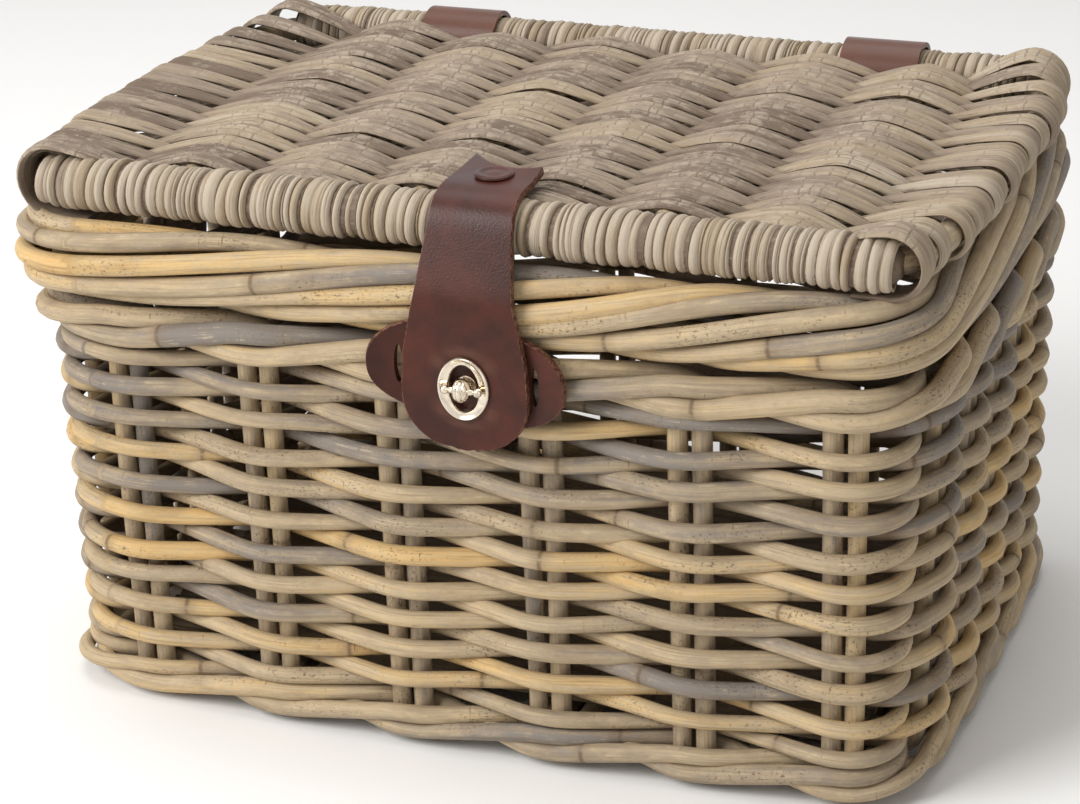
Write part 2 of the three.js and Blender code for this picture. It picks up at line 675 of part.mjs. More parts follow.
const flapStart = bend.clone().addScaledVector(shoulder.clone().sub(bend).normalize(), GAP);
const flapPath = [flapStart, shoulder];
const flapHalf = [STRAP_TOP_HALF, THREE.MathUtils.lerp(STRAP_TOP_HALF, STRAP_END_HALF, 0.23)];
[0, 0.35, 0.65, 0.88, 1].forEach((t) => {
  flapPath.push(new THREE.Vector3(strapX, strapY, STRAP_END_Z + STRAP_END_ROUND * (1 - t)));
  flapHalf.push(STRAP_END_HALF * Math.sqrt(1 - t * t * 0.95));
});
const ovalBlock = ([across, up], frontY, backY, segments = 7) => extrudeAlong(
  new THREE.Shape().absellipse(strapX, LOCK_Z, across, up, 0, 2 * Math.PI),
  backY - frontY,
  frontPlane(backY),
  segments,
);
const barrel = EYELET_HOLE.map((half) => half + EYELET_WALL);
const flap = sweep(flapPath, (i) => strapSection(flapHalf[i]), { upAt: () => X_AXIS });
const barrelHole = ovalBlock(
  barrel.map((half) => half + GAP),
  strapFrontY - STRAP_THICKNESS,
  strapBackY + STRAP_THICKNESS,
);
add('strap_flap', cut(flap, barrelHole), 'leather', 0.5);

// Lock patch: a leaf of leather behind the strap, with a slit near each tip

const leaf = new THREE.Shape();
leaf.moveTo(strapX - PATCH_HALF_LENGTH, PATCH_Z + PATCH_TIP);
for (const side of [-1, 1]) {
  const edgeZ = PATCH_Z + side * PATCH_HALF_HEIGHT;
  const tipZ = PATCH_Z + side * PATCH_TIP;
  const across = side * PATCH_HALF_LENGTH;
  leaf.lineTo(strapX + across, tipZ);
  leaf.quadraticCurveTo(strapX + 0.7 * across, edgeZ, strapX, edgeZ);
  leaf.quadraticCurveTo(strapX - 0.7 * across, edgeZ, strapX - across, tipZ);
}
const slits = [-1, 1].map((side) => {
  const x = strapX + side * (PATCH_HALF_LENGTH - SLIT_INSET);
  const corners = rectangle(...SLIT_HALF)
    .map(([across, up]) => new THREE.Vector2(x + across, PATCH_Z + up));
  const depth = 3 * PATCH_THICKNESS;
  return extrudeAlong(new THREE.Shape(corners), depth, frontPlane(patchBackY + PATCH_THICKNESS));
});
const patch = extrudeAlong(leaf, PATCH_THICKNESS, frontPlane(patchBackY), 5);
add('lock_patch', cut(patch, ...slits), 'leather', 0.5);

// Turn lock

const flangeBackY = strapFrontY - GAP;
const flangeFrontY = flangeBackY - EYELET_FLANGE;
const flange = ovalBlock(EYELET_HALF, flangeFrontY, flangeBackY, 8);
const tube = ovalBlock(barrel, flangeBackY - EYELET_FLANGE / 3, strapBackY - GAP / 3);
const eyeletHole = ovalBlock(EYELET_HOLE, flangeFrontY - EYELET_FLANGE, strapBackY + EYELET_FLANGE);
add('eyelet', cut(join(flange, tube), eyeletHole), 'nickel', 0.25, 1);

// Depths of the lock are measured out from the basket's middle towards the front
const lockCentre = new THREE.Vector3(strapX, 0, LOCK_Z);
const outFront = Y_AXIS.clone().negate();
const plateBack = GAP - patchFrontY;
const plateFront = plateBack + PLATE_THICKNESS;
const knobBack = 4 * GAP - flangeFrontY;
const plateRadius = POST_RADIUS + PLATE_RIM;
const post = turned(
  [
    [0, plateBack], [plateRadius, plateBack], [plateRadius, plateFront],
    [POST_RADIUS, plateFront], [POST_RADIUS, knobBack - GAP],
    [PIVOT_RADIUS, knobBack - GAP], [PIVOT_RADIUS, knobBack + PIVOT_LENGTH],
    [0, knobBack + PIVOT_LENGTH],
  ],
  12,
  outFront,
  lockCentre,
);
add('lock_base', post, 'nickel', 0.25, 1);

const ballNeck = KNOB_BALL * 0.7;
const knobHalfBar = [
  [KNOB_WAIST, KNOB_HALF_LENGTH * 0.56], [ballNeck, KNOB_HALF_LENGTH - ballNeck],
  [KNOB_BALL, KNOB_HALF_LENGTH], [ballNeck, KNOB_HALF_LENGTH + ballNeck],
  [0, KNOB_HALF_LENGTH + KNOB_BALL],
];
const knobBar = turned(
  [
    ...knobHalfBar.map(([radius, along]) => [radius, -along]).reverse(),
    [KNOB_WAIST * 1.3, 0],
    ...knobHalfBar,
  ],
  8,
  X_AXIS,
  new THREE.Vector3(strapX, -knobBack - KNOB_BALL, LOCK_Z),
);
const hub = turned(
  [
    [0, knobBack], [HUB_RADIUS * 0.91, knobBack], [HUB_RADIUS, knobBack + HUB_HEIGHT * 0.27],
    [HUB_RADIUS * 0.78, knobBack + HUB_HEIGHT * 0.79], [0, knobBack + HUB_HEIGHT],
  ],
  12,
  outFront,
  lockCentre,
);
const socketRadius = PIVOT_RADIUS + GAP;
const socketFront = knobBack + PIVOT_LENGTH + GAP;
const pivotHole = turned(
  [
    [0, knobBack - HUB_HEIGHT], [socketRadius, knobBack - HUB_HEIGHT],
    [socketRadius, socketFront], [0, socketFront],
  ],
  12,
  outFront,
  lockCentre,
);
add('turn_knob', cut(join(hub, knobBar), pivotHole), 'nickel', 0.25, 1);

const strapTopZ = LID_AXIS_Z + strapRadius + STRAP_THICKNESS / 2;
const rivetFootZ = strapTopZ - STRAP_THICKNESS;
const rivetHeadZ = strapTopZ + GAP;
const rivet = turned(
  [
    [0, rivetFootZ], [RIVET_SHANK, rivetFootZ], [RIVET_SHANK, rivetHeadZ], [RIVET_HEAD, rivetHeadZ],
    [RIVET_HEAD * 0.85, strapTopZ + RIVET_DOME * 0.58],
    [RIVET_HEAD * 0.5, strapTopZ + RIVET_DOME * 0.88],
    [0, strapTopZ + RIVET_DOME],
  ],
  12,
  Z_AXIS,
  new THREE.Vector3(strapX, rivetY, 0),
);
add('strap_rivet', rivet, 'rivet', 0.4, 0.3);

// Hinge loops: each is drawn taut round the lid's back rail and the rim below it

// The taut line round a set of points, counterclockwise
function tautLine(points) {
  const order = [...points].sort((p, q) => p.x - q.x || p.y - q.y);
  const halfLine = (list) => {
    const kept = [];
    list.forEach((point) => {
      while (kept.length > 1) {
        const [before, last] = kept.slice(-2);
        const turn = last.clone().sub(before).cross(point.clone().sub(last));
        if (turn > 0) break;
        kept.pop();
      }
      kept.push(point);
    });
    return kept.slice(0, -1);
  };
  return [...halfLine(order), ...halfLine(order.reverse())];
}

function loopOutline(rimY, grow, sole) {
  const radius = loopCorner(RAIL_RADIUS + GAP + grow);
  const rimHalf = borderReach + BORDER_RADIUS + LOOP_CLEARANCE + grow;
  const rimFlat = borderRise * 0.73; // half of the height over which the rim's sides are upright
  const bottom = RIM_BOTTOM_Z - GAP - sole;
  const aroundRail = Array.from({ length: LOOP_FACETS }, (_, i) => {
    const angle = (2 * Math.PI * i) / LOOP_FACETS;
    return new THREE.Vector2(
      railY + radius * Math.cos(angle),
      LID_AXIS_Z + radius * Math.sin(angle),
    );
  });
  const aroundRim = [-1, 1].flatMap((side) => [
    new THREE.Vector2(rimY + side * rimHalf, borderZ + rimFlat),
    new THREE.Vector2(rimY + side * rimHalf, borderZ - rimFlat),
    new THREE.Vector2(rimY + side * (rimHalf - LOOP_CHAMFER), bottom),
  ]);
  return tautLine([...aroundRail, ...aroundRim]);
}

for (const [name, side] of [['hinge_loop_left', -1], ['hinge_loop_right', 1]]) {
  const x = WEAVE_SHIFT + side * LOOP_SPREAD;
  const rimY = -wallPoint(wallStarts[0] + halfFace + x, 0, STAKE_TOP_Z).y;
  const shape = new THREE.Shape(loopOutline(rimY, LOOP_THICKNESS, LOOP_SOLE));
  shape.holes.push(new THREE.Path(loopOutline(rimY, 0, 0).reverse()));
  add(name, extrudeAlong(shape, LOOP_WIDTH, sidePlane(x - LOOP_WIDTH / 2)), 'leather', 0.5);
}

// The frame's origin is on the floor, below the middle of the whole outline
const outline = new THREE.Box3().setFromObject(group);
const middle = outline.getCenter(new THREE.Vector3());
group.children.forEach((mesh) => mesh.geometry.translate(-middle.x, -middle.y, -outline.min.z));

export default group;
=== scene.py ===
"""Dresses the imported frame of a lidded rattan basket: round canes on doubled stakes, a twisted rim,
a lid of flat cane with bound rails, a leather strap with a turn lock, and two leather hinge loops."""

import math

import bpy
import numpy as np
from mathutils import Matrix, Vector, noise


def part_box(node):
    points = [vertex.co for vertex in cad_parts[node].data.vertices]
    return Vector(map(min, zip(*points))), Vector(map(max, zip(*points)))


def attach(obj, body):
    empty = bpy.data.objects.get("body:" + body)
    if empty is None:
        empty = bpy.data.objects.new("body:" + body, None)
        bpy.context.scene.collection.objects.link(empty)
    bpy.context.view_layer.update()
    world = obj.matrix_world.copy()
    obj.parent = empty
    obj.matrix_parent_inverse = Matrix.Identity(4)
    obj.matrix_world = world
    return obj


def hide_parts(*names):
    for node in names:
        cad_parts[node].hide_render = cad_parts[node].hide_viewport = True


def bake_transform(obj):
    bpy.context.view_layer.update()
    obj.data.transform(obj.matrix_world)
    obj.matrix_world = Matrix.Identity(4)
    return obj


bl_info = {
    "name": "Rattan Basket Looks",
    "version": (1, 0, 0),
    "blender": (4, 5, 0),
    "location": "3D View > Sidebar > Basket",
    "description": "Weaves, binds and finishes a lidded rattan basket on its packed frame",
    "category": "Object",
}

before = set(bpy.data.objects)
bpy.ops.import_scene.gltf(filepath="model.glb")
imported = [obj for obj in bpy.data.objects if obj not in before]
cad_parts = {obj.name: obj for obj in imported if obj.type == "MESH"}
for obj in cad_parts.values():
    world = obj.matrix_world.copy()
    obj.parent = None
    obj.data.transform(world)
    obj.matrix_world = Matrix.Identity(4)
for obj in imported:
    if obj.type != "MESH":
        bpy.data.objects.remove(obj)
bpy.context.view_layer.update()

MM = 0.001  # shapes are worked out in millimetres, in the frame's own axes
TURN = 2 * math.pi
UP = np.array([0.0, 0.0, 1.0])
ACROSS = np.array([1.0, 0.0, 0.0])
FRONT = np.array([0.0, -1.0, 0.0])


def middle(node, axis):
    """The middle of a frame node's box along one axis, in millimetres."""
    low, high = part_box(node)
    return (low[axis] + high[axis]) / 2 / MM


# Places shared by several pieces
WALL_MIDDLE_Y = middle("base_mat", 1)
WEAVE_SHIFT = 8.0  # the weave, the lid's ribs and the fittings lie this far right of the middle
STAKE_TOP_Z = 182.35
RAIL_Z = middle("lid_front_rail", 2)
RAIL_Y = 124.0  # from the middle of the walls to each rail of the lid
SIDE_RAIL_X = 189.26
RIM_Z = middle("border_cane_01", 2)
RIM_RISE = 17.07  # half the rim's height
RIM_REACH = 12.34  # half the rim's depth
STRAP_X = middle("eyelet", 0)
STRAP_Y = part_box("strap_flap")[0][1] / MM + 1.6  # the middle of the strap where it hangs
LOCK_Z = middle("eyelet", 2)
PATCH_Z = middle("lock_patch", 2)


def linear(code):
    """An sRGB hex colour as linear red, green and blue."""
    parts = [int(code[i : i + 2], 16) / 255 for i in (1, 3, 5)]
    return tuple(v / 12.92 if v <= 0.04045 else ((v + 0.055) / 1.055) ** 2.4 for v in parts)


def length(name, description, millimetres):
    """A length that a user may change, shown in the scene's unit."""
    return bpy.props.FloatProperty(
        name=name, description=description, default=millimetres * MM, min=0.0, unit="LENGTH"
    )


def colour(name, description, code):
    """A colour that a user may change, given as an sRGB hex value."""
    return bpy.props.FloatVectorProperty(
        name=name, description=description, default=linear(code), min=0.0, max=1.0, subtype="COLOR"
    )


class BasketCanes(bpy.types.PropertyGroup):
    """Sizes of the round canes"""

    weaver: length("Weaver", "Diameter of the weaver rows and foot canes", 7.4)
    stake: length("Stake", "Diameter of the canes of a stake pair", 8.2)
    wale: length("Wale", "Diameter of the wale", 8.2)
    rim: length("Rim", "Diameter of the twisted rim canes", 8.3)
    unevenness: length("Unevenness", "How far a row wanders up and down", 3.0)


class BasketLid(bpy.types.PropertyGroup):
    """Sizes of the lid's flat cane"""

    strips: bpy.props.IntProperty(
        name="Strips", description="Flat canes across the lid", default=36, min=8
    )
    thickness: length("Thickness", "Thickness of the flat cane", 2.4)
    hill: length("Hill", "How high a strip rises over a rib", 6.2)
    turns: bpy.props.IntProperty(
        name="Turns", description="Turns of binding on each rail", default=78, min=10
    )


class BasketLeather(bpy.types.PropertyGroup):
    """Sizes of the leather"""

    strap: length("Strap", "Thickness of the strap", 3.2)
    patch: length("Patch", "Thickness of the lock patch", 3.0)
    loop: length("Loop", "Thickness of the hinge loops", 2.2)


class BasketColours(bpy.types.PropertyGroup):
    """Colours of the finishes"""

    slate: colour("Slate cane", "Cane weathered to a bluish grey", "#807870")
    grey: colour("Grey cane", "Cane weathered to grey beige", "#a8967c")
    beige: colour("Beige cane", "Most of the canes", "#bba685")
    honey: colour("Honey cane", "Cane that kept its yellow skin", "#cbab76")
    amber: colour("Amber cane", "The yellowest spots", "#cda468")
    dirt: colour("Dirt", "Dark specks, cracks and rings", "#4e3c2c")
    # Painted shade: the dark brown painted on canes inside the basket, where shade falls
    inside: colour("Inside", "Shaded cane inside the basket", "#5a4431")
    pale: colour("Pale cane", "Scuffed cane", "#cdbc9c")
    stain: colour("Stain", "Brown clouds and streaks", "#7d684f")
    strip: colour("Flat cane", "Split cane of the lid", "#928271")
    strip_warm: colour("Warm flat cane", "Yellower split cane", "#a08e75")
    strip_brown: colour("Brown flat cane", "Darker split cane", "#6d5d4e")
    strip_pale: colour("Pale flat cane", "Scuffed split cane", "#b2a491")
    leather: colour("Leather", "Face of the leather", "#381a12")
    leather_red: colour("Red leather", "Rubbed places of the leather", "#4d2419")
    leather_edge: colour("Leather edge", "Cut and worn edges", "#8d6552")
    nickel: colour("Nickel", "Plating of the lock", "#d9cdbb")
    floor: colour("Floor", "Floor of the stage", "#f4f3f1")


# Paths and sections

GRAIN_STRIDE = 1913.0  # the grain of each cane starts this far on from that of the last one


def unit(vectors):
    """Vectors brought to length one."""
    return vectors / np.linalg.norm(vectors, axis=-1, keepdims=True)


def lumps(at, scale, seed):
    """Smooth noise along a line, about -0.5 to 0.5, with lumps of the given size. The seed picks it."""
    return np.array([noise.noise(Vector((v / scale, seed * 7.31, 3.7))) for v in np.ravel(at)])


def ring_lumps(at, whole, scale, seed):
    """The same noise round a loop of this whole length, so that it closes on itself."""
    radius = whole / (TURN * scale)
    return np.array(
        [
            noise.noise(Vector((radius * math.cos(a), radius * math.sin(a), seed * 3.17)))
            for a in TURN * np.ravel(at) / whole
        ]
    )


def smoothstep(t):
    """Eases from 0 to 1."""
    t = np.clip(t, 0, 1)
    return t * t * (3 - 2 * t)


def evenly(points, step):
    """Points along straight runs, about one step apart."""
    points = np.asarray(points, float)
    runs = np.linalg.norm(np.diff(points, axis=0), axis=1)
    travelled = np.concatenate([[0], np.cumsum(runs)])
    at = np.linspace(0, travelled[-1], max(4, round(travelled[-1] / step)))
    return np.stack([np.interp(at, travelled, points[:, k]) for k in range(points.shape[1])], -1)


def softened(points, passes, closed=False):
    """Rounds off the bends of a path and keeps its ends."""
    path = np.array(points, float)
    for _ in range(passes):
        if closed:
            path = (np.roll(path, 1, 0) + 2 * path + np.roll(path, -1, 0)) / 4
        else:
            path[1:-1] = (path[:-2] + 2 * path[1:-1] + path[2:]) / 4
    return path


def carried_side(ahead):
    """A side vector carried along a path without twisting."""
    start = np.cross(ahead[0], UP if abs(ahead[0][2]) < 0.9 else ACROSS)
    sides = [unit(start)]
    for direction in ahead[1:]:
        side = sides[-1] - direction * np.dot(sides[-1], direction)
        sides.append(unit(side))
    return np.array(sides)


def swept(path, section, closed=False, up=None, tone=0.5, start=0.0):
    """Carries a section along a path: a grid of points, and the grain and tone at each.

    The grain is the distance along the cane and the place in its section, in metres."""
    if closed:
        ahead = unit(np.roll(path, -1, 0) - np.roll(path, 1, 0))
    else:
        ahead = unit(np.gradient(path, axis=0))
    side = carried_side(ahead) if up is None else unit(np.cross(ahead, np.broadcast_to(up, path.shape)))
    lift = np.cross(side, ahead)
    section = np.broadcast_to(section, (len(path), *np.shape(section)[-2:]))
    points = path[:, None] + section[..., :1] * side[:, None] + section[..., 1:] * lift[:, None]
    travelled = np.concatenate([[0], np.cumsum(np.linalg.norm(np.diff(path, axis=0), axis=1))])
    along = np.broadcast_to((start + travelled)[:, None, None], (*points.shape[:2], 1))
    grain = np.concatenate([along, section], -1)
    tones = np.broadcast_to(np.reshape(tone, (-1, 1)), points.shape[:2])
    if closed:
        points = np.concatenate([points, points[:1]])
        tones = np.concatenate([tones, tones[:1]])
        last = grain[:1] + [[[travelled[-1] + np.linalg.norm(path[0] - path[-1]), 0, 0]]]
        grain = np.concatenate([grain, last])
    return points, {"grain": grain * MM, "tone": tones}


def round_section(radius, sides=12, flat=1.0):
    """A round section whose last point repeats its first; flat squeezes its height."""
    angle = np.linspace(0, TURN, sides + 1)
    circle = np.stack([np.cos(angle), flat * np.sin(angle)], -1)
    return np.reshape(radius, (-1, 1, 1)) * circle


def band_section(half_width, thickness, splits):
    """The section of flat canes side by side: each is crowned, and all are flat below.

    The splits are the edges of the canes across the band, from -1 to 1."""
    half_width = np.reshape(half_width, (-1, 1))
    splits = np.broadcast_to(splits, (len(half_width), np.shape(splits)[-1]))
    crown = np.array([-1.0, -0.9, -0.5, 0.0, 0.5, 0.9])
    left, right = splits[:, :-1, None], splits[:, 1:, None]
    across = ((left + right) / 2 + (right - left) / 2 * crown).reshape(len(half_width), -1)
    above = np.tile(0.5 - 0.6 * np.abs(crown) ** 3, splits.shape[1] - 1)
    above = np.broadcast_to(above, across.shape) - 0.25 * across**2
    edge = np.ones_like(half_width)
    across = np.concatenate([across, edge, 0.9 * edge, -0.9 * edge, across[:, :1]], 1)
    above = np.concatenate([above, -0.35 * edge, -0.6 * edge, -0.6 * edge, above[:, :1]], 1)
    return np.stack([half_width * across, thickness * above], -1)


# Making pieces

SEAM = 1e-7  # points closer than this are merged, in metres


def deselect():
    """Leaves nothing selected, in object mode."""
    if bpy.context.object and bpy.context.object.mode != "OBJECT":
        bpy.ops.object.mode_set(mode="OBJECT")
    bpy.ops.object.select_all(action="DESELECT")


def write_values(mesh, name, values):
    """Keeps a number or a vector at each point of a mesh."""
    kind, field = ("FLOAT", "value") if values.ndim == 1 else ("FLOAT_VECTOR", "vector")
    attribute = mesh.attributes.new(name, kind, "POINT")
    attribute.data.foreach_set(field, np.ascontiguousarray(values, np.float32).ravel())


def laid_grid(points, values):
    """Adds a grid and lays each of its points in place. Values are kept at the points by name."""
    rows, columns = points.shape[:2]
    bpy.ops.mesh.primitive_grid_add(x_subdivisions=columns - 1, y_subdivisions=rows - 1, size=2)
    sheet = bpy.context.object
    flat = np.empty(rows * columns * 3, np.float32)
    sheet.data.vertices.foreach_get("co", flat)
    flat = (flat.reshape(-1, 3) + 1) / 2
    row = np.rint(flat[:, 1] * (rows - 1)).astype(int)
    column = np.rint(flat[:, 0] * (columns - 1)).astype(int)
    sheet.data.vertices.foreach_set("co", (points[row, column] * MM).astype(np.float32).ravel())
    for name, value in values.items():
        write_values(sheet.data, name, value[row, column])
    return sheet


def joined(name, sheets):
    """Makes one piece of several sheets."""
    deselect()
    for sheet in sheets:
        sheet.select_set(True)
    bpy.context.view_layer.objects.active = sheets[0]
    if len(sheets) > 1:
        bpy.ops.object.join()
    piece = bpy.context.object
    piece.name = name
    piece.data.name = name
    return piece


def closed_up(piece, angle=50):
    """Merges the seams, fills the open ends and turns the faces outwards."""
    bpy.ops.object.mode_set(mode="EDIT")
    bpy.ops.mesh.select_all(action="SELECT")
    bpy.ops.mesh.remove_doubles(threshold=SEAM)
    bpy.ops.mesh.select_all(action="DESELECT")
    bpy.ops.mesh.select_non_manifold(extend=False)
    bpy.ops.mesh.fill_holes(sides=0)
    bpy.ops.mesh.select_all(action="SELECT")
    bpy.ops.mesh.normals_make_consistent(inside=False)
    bpy.ops.object.mode_set(mode="OBJECT")
    bpy.ops.object.shade_smooth_by_angle(angle=math.radians(angle))
    return piece


def dressed(piece, body, nodes, finish):
    """Gives a piece its finish and its place on the frame."""
    piece.data.materials.clear()
    piece.data.materials.append(finish)
    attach(piece, body)
    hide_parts(*nodes)
    return piece


def cane_piece(name, canes, body, nodes, finish):
    """One piece from swept canes."""
    deselect()
    sheets = []
    for points, values in canes:
        # Canes of the basket keep how much painted shade they get inside it, as their inside value
        if body == "basket":
            values["inside"] = painted_shade_share(points)
        sheets.append(laid_grid(points, values))
    piece = closed_up(joined(name, sheets))
    return dressed(piece, body, nodes, finish)


def apply_modifiers(piece):
    """Applies a piece's modifiers in order."""
    bpy.context.view_layer.objects.active = piece
    for modifier in list(piece.modifiers):
        bpy.ops.object.modifier_apply(modifier=modifier.name)


# The wall's path, counterclockwise from the left end of the front wall

CORNER = 25.0  # radius of a corner
TAPER = 4.0  # how far each wall lies further in at the foot
FACE_HALF, SIDE_HALF = 162.0, 102.0  # half the straight run of a long and of a short wall
FACE_BOW, SIDE_BOW = 5.0, 3.0  # how far a wall swells at its middle
FACE_PITCH, SIDE_PITCH = 62.0, 42.0  # between the stake pairs of a wall
HALF_RUNS = np.array([FACE_HALF, SIDE_HALF, FACE_HALF, SIDE_HALF])
BOWS = np.array([FACE_BOW, SIDE_BOW, FACE_BOW, SIDE_BOW])
AWAY = np.roll(HALF_RUNS, 1)  # from the basket's middle out to the corners' centres, for each wall
HEADINGS = np.array([0.0, 0.25, 0.5, 0.75]) * TURN
ARC = CORNER * TURN / 4
STARTS = np.concatenate([[0], np.cumsum(2 * HALF_RUNS + ARC)[:-1]])
ROUND = float(np.sum(2 * HALF_RUNS + ARC))
FACE_PAIRS = WEAVE_SHIFT + FACE_PITCH * (np.arange(6) - 2.5)
SIDE_PAIRS = SIDE_PITCH * (np.arange(5) - 2.0)
PAIRS = np.concatenate(
    [
        STARTS[q] + HALF_RUNS[q] + runs
        for q, runs in enumerate([FACE_PAIRS, SIDE_PAIRS, -FACE_PAIRS[::-1], SIDE_PAIRS])
    ]
)
ROWS = 19
ROW_PITCH = 7.3
FIRST_ROW_Z = 30.25
PAINTED_SHADE_DEPTH = 9.0  # the painted shade is full this far within the stakes' middles
PAINTED_SHADE_FLOOR, PAINTED_SHADE_RISE = 14.0, 6.0  # the painted shade begins at this height and is full so much higher


def wall_points(s, out, z):
    """Points at distances s round the wall, moved outwards and set at heights z."""
    s, out, z = np.broadcast_arrays(np.mod(s, ROUND), out, z)
    q = np.clip(np.searchsorted(STARTS, s, side="right") - 1, 0, 3)
    half = HALF_RUNS[q]
    run = s - STARTS[q] - half
    lean = -TAPER * (1 - z / STAKE_TOP_Z)
    swell = BOWS[q] * (1 - (run / half) ** 2)
    angle = (run - half) / CORNER
    radius = CORNER + lean + out
    straight = run <= half
    x = np.where(straight, run, half + radius * np.sin(angle))
    y = -AWAY[q] - np.where(straight, CORNER + swell + lean + out, radius * np.cos(angle))
    turn = HEADINGS[q]
    return np.stack(
        [
            x * np.cos(turn) - y * np.sin(turn),
            x * np.sin(turn) + y * np.cos(turn) + WALL_MIDDLE_Y,
            z.astype(float),
        ],
        -1,
    )


def painted_shade_share(points):
    """How far points lie inside the basket, which is how much painted shade they get: 0 outside the stakes'
    middles, 1 a cane's width within.
    """
    x, y, z = points[..., 0], points[..., 1] - WALL_MIDDLE_Y, points[..., 2]
    lean = TAPER * (1 - z / STAKE_TOP_Z)
    past_side = np.abs(x) - (AWAY[1] + CORNER - lean)
    swell = BOWS[0] * np.clip(1 - (x / HALF_RUNS[0]) ** 2, 0, 1)
    past_face = np.abs(y) - (AWAY[0] + CORNER + swell - lean)
    depth = -np.maximum(past_side, past_face)
    return smoothstep(depth / PAINTED_SHADE_DEPTH) * smoothstep((z - PAINTED_SHADE_FLOOR) / PAINTED_SHADE_RISE)


# Finishes


def add_node(owner, kind, settings=None, links=None, stops=None):
    """Adds a node to a material or a world, sets its properties and sockets, links its inputs and places
    its ramp's stops. A link comes from a socket, or from the first output that a node has in use."""
    node = owner.node_tree.nodes.new("ShaderNode" + kind)
    for key, value in (settings or {}).items():
        if isinstance(key, str) and hasattr(node, key):
            setattr(node, key, value)
        else:
            node.inputs[key].default_value = value
    for key, source in (links or {}).items():
        if isinstance(source, bpy.types.Node):
            source = next(output for output in source.outputs if output.enabled)
        owner.node_tree.links.new(source, node.inputs[key])
    for i, (place, shade) in enumerate(stops or []):
        ramp = node.color_ramp.elements
        stop = ramp[i] if i < 2 else ramp.new(place)
        stop.position = place
        stop.color = (*shade, 1.0)
    return node


def blank_finish(name):
    """An empty node material and whether it still has to be filled."""
    found = bpy.data.materials.get(name)
    if found:
        return found, False
    made = bpy.data.materials.new(name)
    made.use_nodes = True
    made.node_tree.nodes.clear()
    return made, True


def cane_patterns(finish, values, noises, cells, masks, products):
    """Adds what a cane's finish is drawn from, and returns it by name.

    Values are kept at the cane's points. A noise has its lumps' size along, across and through the cane in
    millimetres, its detail and its roughness. Cells have their spacing along the cane in millimetres, and
    what is taken from them. A mask goes from a faint to a strong share between two levels of a pattern,
    and a product multiplies what it names."""
    made = {}
    for name in values:
        made[name] = add_node(finish, "Attribute", {"attribute_name": name}).outputs["Fac"]
    grain = add_node(finish, "Attribute", {"attribute_name": "grain"}).outputs["Vector"]
    along = add_node(finish, "SeparateXYZ", links={"Vector": grain})
    for name, (lump, detail, rough) in noises.items():
        scale = [1 / (size * MM) for size in lump]
        scaled = add_node(finish, "Mapping", {"Scale": scale}, {"Vector": grain})
        look = {"Scale": 1.0, "Detail": detail, "Roughness": rough}
        made[name] = add_node(finish, "TexNoise", look, {"Vector": scaled})
    for name, (spacing, feature, output) in cells.items():
        place = add_node(finish, "Math", {"operation": "MULTIPLY", 1: 1 / (spacing * MM)}, {0: along})
        look = {"voronoi_dimensions": "1D", "feature": feature, "Scale": 1.0}
        made[name] = add_node(finish, "TexVoronoi", look, {"W": place}).outputs[output]
    for name, (source, low, high, faint, strong) in masks.items():
        levels = {"From Min": low, "From Max": high, "To Min": faint, "To Max": strong}
        made[name] = add_node(finish, "MapRange", levels, {"Value": made[source]})
    for name, (first, *others) in products.items():
        product = made[first]
        for other in others:
            product = add_node(finish, "Math", {"operation": "MULTIPLY"}, {0: product, 1: made[other]})
        made[name] = product
    return made


